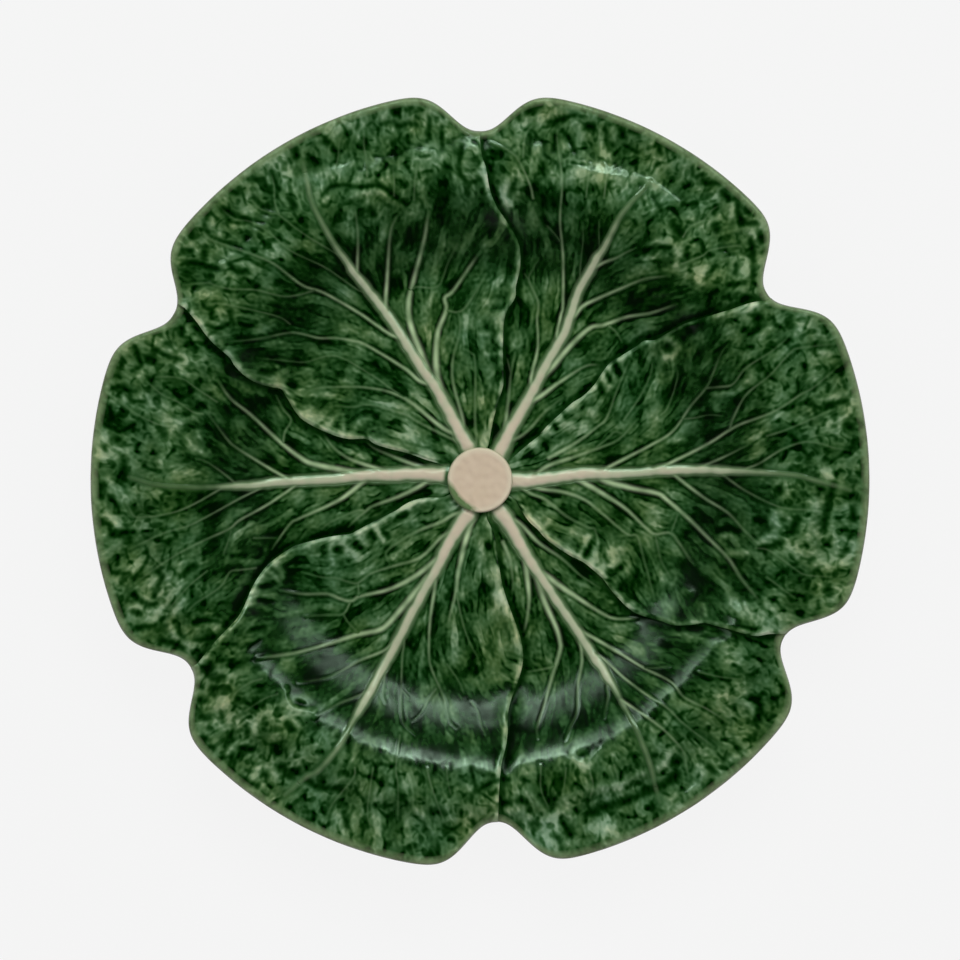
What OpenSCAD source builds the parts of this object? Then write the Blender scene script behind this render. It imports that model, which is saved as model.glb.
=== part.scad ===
// A round serving plate of glazed earthenware, moulded as six cabbage leaves round a cut stalk.
// Millimetres. The origin is on the table under the middle of the foot, +Z is up, and +Y points
// to the notch between the two upper leaves. Leaves, seams and ribs are counted anticlockwise,
// seen from above, starting from the notch on the upper right. Every second leaf lies on top.

/* [Plate] */
// Radius of the circle that the leaf tips reach
plate_r = 152.5; // [146:0.5:165]
// Rise of the rim's crest over the floor of the well
well_depth = 19; // [14:0.5:24]
// Radius of the well's flat floor
floor_r = 77.5; // [70:0.5:84]
// Radius of the rim's crest
crest_r = 124.5; // [116:0.5:132]
// Dip of the rim between its crest and the leaf tips
rim_dip = 3; // [0:0.1:4]
// Rise of the leaf tips over the crest
rim_rise = 0.6; // [0:0.1:2]
// Thickness of the shell
shell_t = 6; // [5:0.1:8]

/* [Foot] */
// Outer radius of the foot ring
foot_r = 76; // [66:1:82]
// Width of the foot ring at the shell
foot_w = 6; // [5:0.5:9]
// Height of the foot ring
foot_h = 6; // [4.5:0.5:8]
// Rounding of the foot ring's two lower edges
foot_round = 1.5; // [0.5:0.1:2]
// Flat band of the underside outside the foot ring
foot_margin = 2; // [1:0.5:4]

/* [Stalk] */
// Radius of the cut stalk
stalk_r = 12.9; // [10:0.1:16]
// Rise of the stalk's face over the floor of the well
stalk_rise = 3; // [2:0.1:5]
// Rounding of the stalk's upper edge
stalk_round = 1.2; // [0.5:0.1:2]
// Clearance between the stalk and the leaves round it
stalk_gap = 0.1; // [0.05:0.01:0.2]

/* [Leaves] */
// Deepest notch between two leaves at the rim
notch_depth = 18.2; // [12:0.1:21]
// Half the width of a notch at half its depth, in degrees
notch_half_angle = 5.1; // [4:0.1:6.5]
// Step from a leaf that lies on top down to its neighbour
lap = 2.6; // [1:0.1:3.5]
// Fall of the rounded lip at a leaf's edge
lip_fall = 0.9; // [0.3:0.1:1.2]
// Rise of a side vein over the blade
vein_h = 0.9; // [0.3:0.1:1.5]
// Half the width of a side vein, measured along the midrib
vein_half_w = 2.4; // [1.5:0.1:3]
// Sag of the blade between two side veins
blade_sag = 0.5; // [0:0.1:1]
// Rise of the ruffles along the seams of a leaf that lies on top
ruffle_h = 0.9; // [0:0.1:1.5]
// How far these ruffles bulge over the leaf below
ruffle_out = 1.6; // [0:0.1:2.5]

/* [Midribs] */
// Width of a midrib near the stalk
rib_w = 5.4; // [4:0.1:7]
// Rise of a midrib over the blade near the stalk
rib_h = 1.9; // [1:0.1:2.6]

/* [Hidden] */
$fn = 96;

LEAVES = 6;
TURN = 360;

// Notches: direction in degrees, and depth as a share of the deepest one
notch_angles = [33, 90, 151.5, 212.8, 272.6, 332.4];
notch_depth_shares = [1, 0.86, 0.87, 0.95, 1, 1];
// Above 2, the bottom of a notch is blunter and its shoulders are squarer than a bell curve's
notch_power = 2.4;

// Where each seam between two leaves runs: share of the way from stalk to rim, and direction
seam_shares = [
    [[0, 34], [0.08, 37], [0.18, 39], [0.3, 40], [0.4, 42], [0.53, 40.5], [0.58, 38], [0.68, 37.5],
        [0.78, 36.3], [0.88, 34.2], [1, 33]],
    [[0, 80], [0.1, 77], [0.17, 76.5], [0.25, 79], [0.37, 80.7], [0.5, 79], [0.57, 80.3], [0.65, 83.5],
        [0.78, 87.4], [0.9, 89.3], [1, 90]],
    [[0, 149], [0.09, 154], [0.15, 157.2], [0.29, 161.5], [0.4, 161.6], [0.47, 159.2], [0.53, 156.7],
        [0.65, 156.3], [0.72, 155.1], [0.83, 152.7], [1, 151.5]],
    [[0, 203], [0.07, 196.6], [0.13, 197.6], [0.2, 200.3], [0.31, 203.2], [0.36, 201.1], [0.5, 200.2],
        [0.56, 201.9], [0.67, 207.1], [0.76, 209.6], [0.9, 211.7], [1, 212.8]],
    [[0, 278], [0.07, 284.5], [0.14, 282.6], [0.29, 282.8], [0.4, 284.2], [0.47, 281.5], [0.53, 278.6],
        [0.6, 277], [0.76, 275.2], [0.9, 273.2], [1, 272.6]],
    [[0, 330], [0.08, 321], [0.14, 318], [0.2, 318.4], [0.33, 321.4], [0.43, 318.7], [0.5, 318.7],
        [0.61, 323.6], [0.69, 326.6], [0.79, 328.6], [0.9, 330.6], [1, 332.4]]
];

// Where each midrib runs: share of the way from stalk to rim, and direction
midrib_shares = [
    [[0, 54], [0.13, 58.5], [0.3, 60.6], [0.53, 62.2], [0.8, 61.6], [0.88, 60.1], [1, 58.5]],
    [[0, 117.3], [0.1, 116], [0.2, 116.2], [0.3, 118.2], [0.5, 120.6], [0.72, 121.7], [0.88, 120.2], [1, 119.5]],
    [[0, 175], [0.12, 178.4], [0.24, 180.3], [0.34, 181.3], [0.62, 181.9], [0.83, 180.6], [1, 179.5]],
    [[0, 253], [0.09, 248.5], [0.16, 245.5], [0.32, 243.3], [0.62, 242.8], [0.77, 241.5], [0.9, 238.7], [1, 237.6]],
    [[0, 303], [0.1, 300.6], [0.17, 300.4], [0.24, 302.5], [0.6, 302.4], [0.75, 302.1], [0.9, 299.8], [1, 298.8]],
    [[0, 358], [0.11, 361.7], [0.2, 363.4], [0.29, 362], [0.45, 363], [0.6, 362], [0.78, 361.3], [1, 358]]
];

// How a midrib tapers: share of the way from stalk to rim, and share of its width or its rise
rib_width_shares = [[0, 1.35], [0.08, 1.05], [0.35, 0.85], [0.52, 0.65], [0.66, 0.36], [0.9, 0.24], [1, 0.2]];
rib_rise_shares = [[0, 1], [0.35, 0.85], [0.52, 0.65], [0.66, 0.4], [0.9, 0.2], [1, 0.16]];

// Side veins of half a leaf. The first value is where the vein leaves the midrib, as a share of the
// way to the rim. The second is where it ends, going once along the seam from 0 at the stalk to 1
// at the notch, and then back along the rim from 1 at the notch to 2 at the midrib.
vein_shares = [[0.05, 0.30], [0.12, 0.54], [0.21, 0.80], [0.34, 1.20], [0.48, 1.40], [0.62, 1.58], [0.77, 1.74]];
// The last three rows of the blade, past the last vein, in the same two measures
tip_row_shares = [[0.885, 1.81], [0.97, 1.86], [1, 1.88]];
// Points along a row, from the midrib's flank to the leaf's edge
column_shares = [0, 0.1, 0.22, 0.35, 0.48, 0.61, 0.74, 0.85, 0.94, 1];
// Every third of them carries the underside, which has no veins
under_step = 3;
// Below 1, a side vein leaves the midrib at a sharp angle and bends away from it
vein_bend = 0.75;
// The underside's rows run straight across, and from this share of the midrib on they fan out
under_tip_share = 0.86;

// How the lap grows from the stalk, and what is left of it at the rim
lap_start_share = 0.12;
lap_end_start_share = 0.7;
lap_end_share = 0.3;
// How closely the lap and the ruffles keep to the leaf's edge
lap_power = 3;
// What is left of a vein's rise at the leaf's edge
vein_end_share = 0.4;
// Points across a midrib, as shares of half its width
rib_section_shares = [-1, -0.6, 0, 0.6, 1];

// The leaves start clear of the stalk, with their straight facets outside its round wall
facet_half_angle = 9;
inner_r = (stalk_r + stalk_gap) / cos(facet_half_angle);
leaf_length = plate_r - inner_r;
vein_half_share = vein_half_w / leaf_length;

function mix(a, b, f) = a + (b - a) * f;
function clamp01(x) = min(max(x, 0), 1);
function smooth(x) = let (c = clamp01(x)) c * c * (3 - 2 * c);
function sum(list, i = 0) = i < len(list) ? list[i] + sum(list, i + 1) : 0;
// The difference of two directions, the short way round
function apart(a, b) = let (d = abs(a - b) % TURN) min(d, TURN - d);

// Radius of the plate's outline in a direction
function notch_fall(k, angle) =
    notch_depth * notch_depth_shares[k]
    * exp(-ln(2) * pow(apart(angle, notch_angles[k]) / notch_half_angle, notch_power));
function rim_r(angle) = plate_r - sum([for (k = [0:LEAVES - 1]) notch_fall(k, angle)]);

// Height of the dish over its floor, for a wall that starts to rise at a radius
function dish(r, start_r) =
    let (u = clamp01((r - crest_r) / (plate_r - crest_r)))
    well_depth * smooth((r - start_r) / (crest_r - start_r))
    - rim_dip * (1 - cos(TURN * u)) / 2
    + rim_rise * u * u;
function top_z(r) = foot_h + shell_t + dish(r, floor_r);
function under_z(r) = foot_h + dish(r, foot_r + foot_margin);

function seam_angle(k, t) = lookup(t, seam_shares[k % LEAVES]) + TURN * floor(k / LEAVES);
function is_upper(k) = k % 2 == 1;
// The ruffles lie between the side veins and run out at the stalk and at the rim
function ruffle(kind, t) =
    kind < 0 ? smooth(t / lap_start_share) * smooth((1 - t) / (1 - lap_end_start_share)) : 0;
// A seam bulges away from the leaf that lies on top
function seam_bulge(k, kind, t) =
    (is_upper(k) ? -1 : 1) * asin(ruffle_out * ruffle(kind, t) / plan_r(seam_angle(k, t), t));
function midrib_angle(k, t) = lookup(t, midrib_shares[k]);
function plan_r(angle, t) = mix(inner_r, rim_r(angle), t);
function rib_w_at(t) = rib_w * lookup(t, rib_width_shares);
function rib_h_at(t) = rib_h * lookup(t, rib_rise_shares);

// Rows of the blade grid: midrib share, edge share and what the row is, as 1 on a vein's crest
// and -1 in the sag between two veins
function vein_rows(j) =
    let (here = vein_shares[j])
    let (before = j == 0 ? [0, 0] : vein_shares[j - 1])
    let (half = [vein_half_share, vein_half_share])
    [
        concat((here + before) / 2, [-1]),
        concat(here - half, [0]),
        concat(here, [1]),
        concat(here + half, [0])
    ];
rows = concat(
    [[0, 0, 0]],
    [for (j = [0:len(vein_shares) - 1]) each vein_rows(j)],
    [for (share = tip_row_shares) concat(share, [0])]
);
row_count = len(rows);
rib_row_count = row_count - 2;

// Across a leaf: its columns from one edge to the flank, the midline, and from there to the other edge
half_count = len(column_shares);
columns = concat(
    [for (i = [half_count - 1:-1:0]) [-1, column_shares[i]]],
    [[0, 0]],
    [for (i = [0:half_count - 1]) [1, column_shares[i]]]
);
column_count = len(columns);
midline = half_count;
under_columns = concat(
    [for (i = [0:under_step:midline - 1]) i],
    [midline],
    [for (i = [midline + 1:under_step:column_count - 1]) i]
);
under_count = len(under_columns);

// A grid place as [angle, way from stalk to rim, way from flank to edge]. The row meets the
// midrib at inner_t, and its bend is 1 where it runs straight.
function grid_place(k, i, j, inner_t, bend) =
    let (side = columns[j][0])
    let (v = columns[j][1])
    let (kind = rows[i][2])
    let (edge = rows[i][1])
    let (end_s = min(1, 2 - edge))
    let (end_t = i == 0 ? 0 : min(1, edge))
    let (s = end_s * v)
    let (t = mix(inner_t, end_t, pow(v, bend)))
    let (mid = midrib_angle(k, t))
    let (flank = side * asin(rib_w_at(t) / 2 / plan_r(mid, t)))
    let (seam_k = side > 0 ? k + 1 : k)
    let (seam = seam_angle(seam_k, t) + (v == 1 && edge < 1 ? seam_bulge(seam_k, kind, t) : 0))
    [side == 0 ? mid : mix(mid + flank, seam, s), t, s];
function top_place(k, i, j) = grid_place(k, i, j, rows[i][0], vein_bend);
function under_inner_share(edge) =
    edge < 1 ? edge * under_tip_share :
    mix(under_tip_share, 1, (edge - 1) / (rows[row_count - 1][1] - 1));
function under_place(k, i, j) = grid_place(k, i, j, under_inner_share(rows[i][1]), 1);

function lap_lift(k, s, t) =
    (is_upper(k) ? 1 : -1) * lap / 2 * pow(s, lap_power) * smooth(t / lap_start_share)
    * mix(1, lap_end_share, smooth((t - lap_end_start_share) / (1 - lap_end_start_share)));
function ruffle_lift(k, i, s, t) =
    is_upper(k) ? ruffle_h * pow(s, lap_power) * ruffle(rows[i][2], t) : 0;
// The vein's crest or the sag between two veins, which both run out at the midrib
function row_relief(i, v) =
    let (kind = rows[i][2])
    v == 0 ? 0 :
    kind > 0 ? vein_h * mix(1, vein_end_share, v) :
    kind < 0 ? -blade_sag * smooth(v / column_shares[2]) * smooth((1 - v) / (1 - column_shares[6])) : 0;
// The rounded lip along the rim, and along the seams of a leaf that lies on top
function lip(k, t, v) = t == 1 || (v == 1 && is_upper(k) && t > 0) ? lip_fall : 0;

function at(angle, r, z) = [r * cos(angle), r * sin(angle), z];
function top_point(k, i, j) =
    let (place = top_place(k, i, j))
    let (r = plan_r(place[0], place[1]))
    let (v = columns[j][1])
    at(place[0], r, top_z(r) + lap_lift(k, place[2], place[1]) + ruffle_lift(k, i, place[2], place[1])
        + row_relief(i, v) - lip(k, place[1], v));
function under_point(k, i, j) =
    let (place = under_place(k, i, j))
    let (r = plan_r(place[0], place[1]))
    at(place[0], r, under_z(r) + (place[1] == 1 ? lip_fall : 0));

// Two triangles of a grid cell, seen clockwise from above or from below
function cell_up(a, b, c, d) = [[a, b, c], [a, c, d]];
function cell_down(a, b, c, d) = [[a, c, b], [a, d, c]];

// One leaf's blade: a top grid with the veins, an underside with fewer columns, and the walls
module leaf_blade(k) {
    top = [for (i = [0:row_count - 1]) for (j = [0:column_count - 1]) top_point(k, i, j)];
    under = [for (i = [0:row_count - 1]) for (j = under_columns) under_point(k, i, j)];
    function T(i, j) = i * column_count + j;
    function U(i, c) = row_count * column_count + i * under_count + c;
    last = row_count - 1;
    right = column_count - 1;
    under_right = under_count - 1;
    top_faces = [for (i = [0:last - 1]) for (j = [0:right - 1])
        each cell_up(T(i, j), T(i, j + 1), T(i + 1, j + 1), T(i + 1, j))];
    under_faces = [for (i = [0:last - 1]) for (c = [0:under_right - 1])
        each cell_down(U(i, c), U(i, c + 1), U(i + 1, c + 1), U(i + 1, c))];
    seam_walls = [for (i = [0:last - 1]) each concat(
        cell_up(T(i, 0), T(i + 1, 0), U(i + 1, 0), U(i, 0)),
        cell_down(T(i, right), T(i + 1, right), U(i + 1, under_right), U(i, under_right)))];
    stalk_wall = [for (c = [0:under_right - 1]) each concat(
        [for (j = [under_columns[c]:under_columns[c + 1] - 1]) [T(0, j + 1), T(0, j), U(0, c)]],
        [[T(0, under_columns[c + 1]), U(0, c), U(0, c + 1)]])];
    rim_wall = [for (c = [0:under_right - 1]) each concat(
        [for (j = [under_columns[c]:under_columns[c + 1] - 1]) [T(last, j), T(last, j + 1), U(last, c)]],
        [[U(last, c), T(last, under_columns[c + 1]), U(last, c + 1)]])];
    polyhedron(
        concat(top, under),
        concat(top_faces, under_faces, seam_walls, stalk_wall, rim_wall),
        convexity = 6
    );
}

// One midrib: its bed is the strip of blade between the flanks, and its back is a half ellipse
module rib(k) {
    section_count = len(rib_section_shares);
    bed = [for (i = [0:rib_row_count - 1]) for (j = [midline - 1:midline + 1]) top_point(k, i, j)];
    back = [for (i = [0:rib_row_count - 1]) for (f = rib_section_shares)
        let (row = [for (j = [midline - 1:midline + 1]) top_point(k, i, j)])
        let (foot = f < 0 ? mix(row[1], row[0], -f) : mix(row[1], row[2], f))
        foot + [0, 0, rib_h_at(rows[i][0]) * sqrt(1 - f * f)]];
    // The section's two ends are the bed's two flanks, so they share its points
    function B(i, j) = i * 3 + j;
    function S(i, f) =
        f == 0 ? B(i, 0) :
        f == section_count - 1 ? B(i, 2) : rib_row_count * 3 + i * section_count + f;
    last = rib_row_count - 1;
    bed_faces = [for (i = [0:last - 1]) for (j = [0:1])
        each cell_down(B(i, j), B(i, j + 1), B(i + 1, j + 1), B(i + 1, j))];
    back_faces = [for (i = [0:last - 1]) for (f = [0:section_count - 2])
        each cell_up(S(i, f), S(i, f + 1), S(i + 1, f + 1), S(i + 1, f))];
    stalk_face = [[for (f = [section_count - 1:-1:0]) S(0, f), B(0, 1)]];
    tip_face = [[for (f = [0:section_count - 1]) S(last, f), B(last, 1)]];
    polyhedron(concat(bed, back), concat(bed_faces, back_faces, stalk_face, tip_face), convexity = 4);
}

module leaf(k) {
    color("darkgreen") leaf_blade(k);
}

module midrib(k) {
    color("tan") rib(k);
}

// The cut stalk in the middle, which goes down through the shell to its underside
module stalk_end() {
    top = foot_h + shell_t + stalk_rise;
    color("wheat")
        rotate_extrude()
            union() {
                translate([0, foot_h]) square([stalk_r - stalk_round, top - foot_h]);
                translate([0, foot_h]) square([stalk_r, top - stalk_round - foot_h]);
                intersection() {
                    translate([stalk_r - stalk_round, top - stalk_round]) circle(stalk_round);
                    translate([0, foot_h]) square([stalk_r, top - foot_h]);
                }
            }
}

// The ring that the plate stands on, flat between its two rounded lower edges
module foot_ring() {
    color("linen")
        rotate_extrude()
            translate([foot_r - foot_w, 0])
                union() {
                    translate([foot_round, 0]) square([foot_w - 2 * foot_round, foot_h]);
                    translate([0, foot_round]) square([foot_w, foot_h - foot_round]);
                    translate([foot_round, foot_round]) circle(foot_round);
                    translate([foot_w - foot_round, foot_round]) circle(foot_round);
                }
}

leaf(0);  // leaf_upper_right
leaf(1);  // leaf_upper_left
leaf(2);  // leaf_left
leaf(3);  // leaf_lower_left
leaf(4);  // leaf_lower_right
leaf(5);  // leaf_right
midrib(0);  // midrib_upper_right
midrib(1);  // midrib_upper_left
midrib(2);  // midrib_left
midrib(3);  // midrib_lower_left
midrib(4);  // midrib_lower_right
midrib(5);  // midrib_right
stalk_end();
foot_ring();
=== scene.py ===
import math

import bpy
import numpy as np
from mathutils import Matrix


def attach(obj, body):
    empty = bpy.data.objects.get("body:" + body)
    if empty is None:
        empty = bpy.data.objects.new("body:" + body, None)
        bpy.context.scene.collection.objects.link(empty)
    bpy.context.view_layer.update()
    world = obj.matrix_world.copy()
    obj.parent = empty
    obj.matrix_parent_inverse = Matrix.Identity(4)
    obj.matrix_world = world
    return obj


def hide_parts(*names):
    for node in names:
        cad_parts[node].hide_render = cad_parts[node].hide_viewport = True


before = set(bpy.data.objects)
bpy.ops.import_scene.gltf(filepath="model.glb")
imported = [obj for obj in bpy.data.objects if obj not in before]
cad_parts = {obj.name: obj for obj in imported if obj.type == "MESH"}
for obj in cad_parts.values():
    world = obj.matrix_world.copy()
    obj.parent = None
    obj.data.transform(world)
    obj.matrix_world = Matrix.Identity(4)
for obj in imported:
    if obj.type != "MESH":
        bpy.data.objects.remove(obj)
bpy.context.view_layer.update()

MM = 0.001

# Sizes of the plate in millimetres, as in the CAD source
PLATE_R = 152.5
WELL_DEPTH = 19.0
FLOOR_R = 77.5
CREST_R = 124.5
RIM_RISE = 0.6
SHELL_T = 6.0
FOOT_R = 76.0
FOOT_MARGIN = 2.0
FOOT_H = 6.0
STALK_R = 12.9
STALK_RISE = 3.0
STALK_ROUND = 1.2
NOTCH_DEPTH = 18.2
NOTCH_HALF_ANGLE = 5.1
NOTCH_POWER = 2.4
NOTCH_ANGLES = [33, 90, 151.5, 212.8, 272.6, 332.4]
NOTCH_DEPTH_SHARES = [1, 0.86, 0.87, 0.95, 1, 1]
LEAVES = 6

# The glaze fills the rim's hollow, so that it is shallower than in the solids
SEEN_DIP = 2.2

# The photograph: its size, the plate's width in it, its scale at the rim, and the camera
PHOTO_SIZE_PX = 960
PLATE_WIDTH_PX = 780
MM_PER_PX = 2 * PLATE_R / PLATE_WIDTH_PX
RIM_Z = FOOT_H + SHELL_T + WELL_DEPTH
LENS_MM = 150
SENSOR_MM = 36
CAMERA_Z = RIM_Z + LENS_MM / SENSOR_MM * PHOTO_SIZE_PX * MM_PER_PX

# Leaves anticlockwise from the upper right, as in the CAD source. Every second one lies on top.
LEAF_NAMES = ["upper_right", "upper_left", "left", "lower_left", "lower_right", "right"]

# All lines below were traced in pixels of the photograph.

# Seams between leaves, from the rim to the stalk
SEAMS_PX = [
    [(768, 300), (750, 303), (729, 310), (699, 319), (684, 324), (666, 334), (655, 340), (644, 341),
     (634, 348), (621, 356), (610, 363), (602, 373), (594, 385), (583, 396), (572, 403), (560, 414),
     (546, 427), (541, 434), (526, 446), (511, 459)],
    [(480, 140), (482, 156), (486, 168), (490, 190), (497, 207), (507, 222), (517, 239), (520, 251),
     (520, 268), (516, 286), (515, 298), (508, 309), (504, 321), (503, 340), (503, 360), (504, 380),
     (500, 397), (494, 417), (489, 442)],
    [(185, 308), (196, 321), (203, 331), (213, 343), (229, 357), (235, 366), (245, 376), (257, 383),
     (271, 387), (281, 389), (286, 396), (295, 411), (303, 420), (319, 429), (336, 436), (350, 439),
     (366, 439), (375, 444), (387, 448), (407, 453), (424, 459), (437, 463)],
    [(198, 663), (213, 644), (232, 624), (240, 614), (247, 600), (251, 590), (257, 579), (266, 567),
     (276, 558), (288, 550), (298, 545), (319, 539), (334, 536), (350, 534), (358, 530), (375, 521),
     (395, 511), (404, 505), (412, 501), (424, 498), (444, 497)],
    [(498, 822), (499, 795), (500, 778), (502, 762), (506, 745), (508, 728), (508, 714), (511, 700),
     (517, 684), (522, 667), (523, 653), (520, 636), (514, 619), (507, 600), (502, 583), (499, 565),
     (497, 549), (494, 534), (487, 519)],
    [(785, 634), (770, 634), (756, 636), (742, 633), (728, 629), (716, 626), (704, 623), (690, 625),
     (673, 625), (661, 621), (638, 614), (627, 607), (619, 599), (611, 590), (603, 579), (593, 570),
     (583, 562), (571, 556), (558, 548), (547, 540), (538, 530), (527, 519), (515, 499)],
]

# Midribs, from the stalk to the tip, with half their width
RIBS_PX = [
    [(498, 456, 8), (511, 429, 6.3), (529, 398, 5.2), (546, 365, 4.4), (565, 331, 4.2), (578, 293, 3.8),
     (590, 271, 3.8), (597, 258, 3.3), (605, 246, 2.3), (621, 215, 1.5), (640, 193, 1.2),
     (651, 181, 0.8)],
    [(468, 446, 7.8), (459, 431, 6.4), (437, 390, 5.2), (420, 366, 4.8), (402, 337, 4.3), (385, 312, 4),
     (364, 285, 3.4), (354, 273, 3.2), (344, 258, 2.2), (334, 244, 1.7), (313, 205, 1.2),
     (307, 181, 1.3), (303, 163, 0.7)],
    [(446, 475, 8.4), (420, 474, 6.8), (387, 475, 6.2), (360, 476, 5.6), (336, 479, 4.6),
     (298, 481, 4.2), (279, 482, 3.9), (257, 485, 3.3), (237, 486, 2.6), (217, 487, 1.4), (190, 487, 1),
     (169, 486, 1), (152, 484, 0.9), (139, 480, 0.8), (129, 477, 0.7)],
    [(468, 514, 8), (461, 524, 7), (446, 549, 6), (436, 570, 5), (427, 585, 4.4), (410, 617, 4.5),
     (395, 646, 4.2), (380, 673, 3.8), (370, 692, 3.9), (363, 704, 3.6), (357, 714, 2.6),
     (353, 721, 1.8), (339, 746, 1.6), (319, 770, 1.4), (305, 778, 1.2), (285, 795, 0.8)],
    [(501, 513, 8), (507, 521, 7.4), (516, 536, 6.8), (524, 551, 5.8), (543, 580, 4.6), (561, 607, 4.1),
     (578, 632, 3.9), (593, 656, 4), (602, 668, 4), (607, 677, 3.8), (612, 684, 2.7), (616, 691, 1.8),
     (621, 701, 1.5), (638, 733, 1.2), (651, 767, 1.3), (655, 785, 0.9), (660, 802, 0.6)],
    [(513, 481, 8.4), (526, 481, 7.4), (543, 479, 6.3), (560, 477, 6), (580, 474, 6), (600, 474, 5.4),
     (612, 474, 4.6), (638, 473, 3.8), (655, 471, 4.2), (671, 470, 4.5), (699, 470, 3.7),
     (712, 470, 3.6), (722, 471, 3.2), (733, 471, 2.7), (753, 472, 2), (773, 473, 1.5), (800, 476, 1.2),
     (814, 480, 1.2), (841, 487, 1), (850, 490, 0.8)],
]

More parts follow.
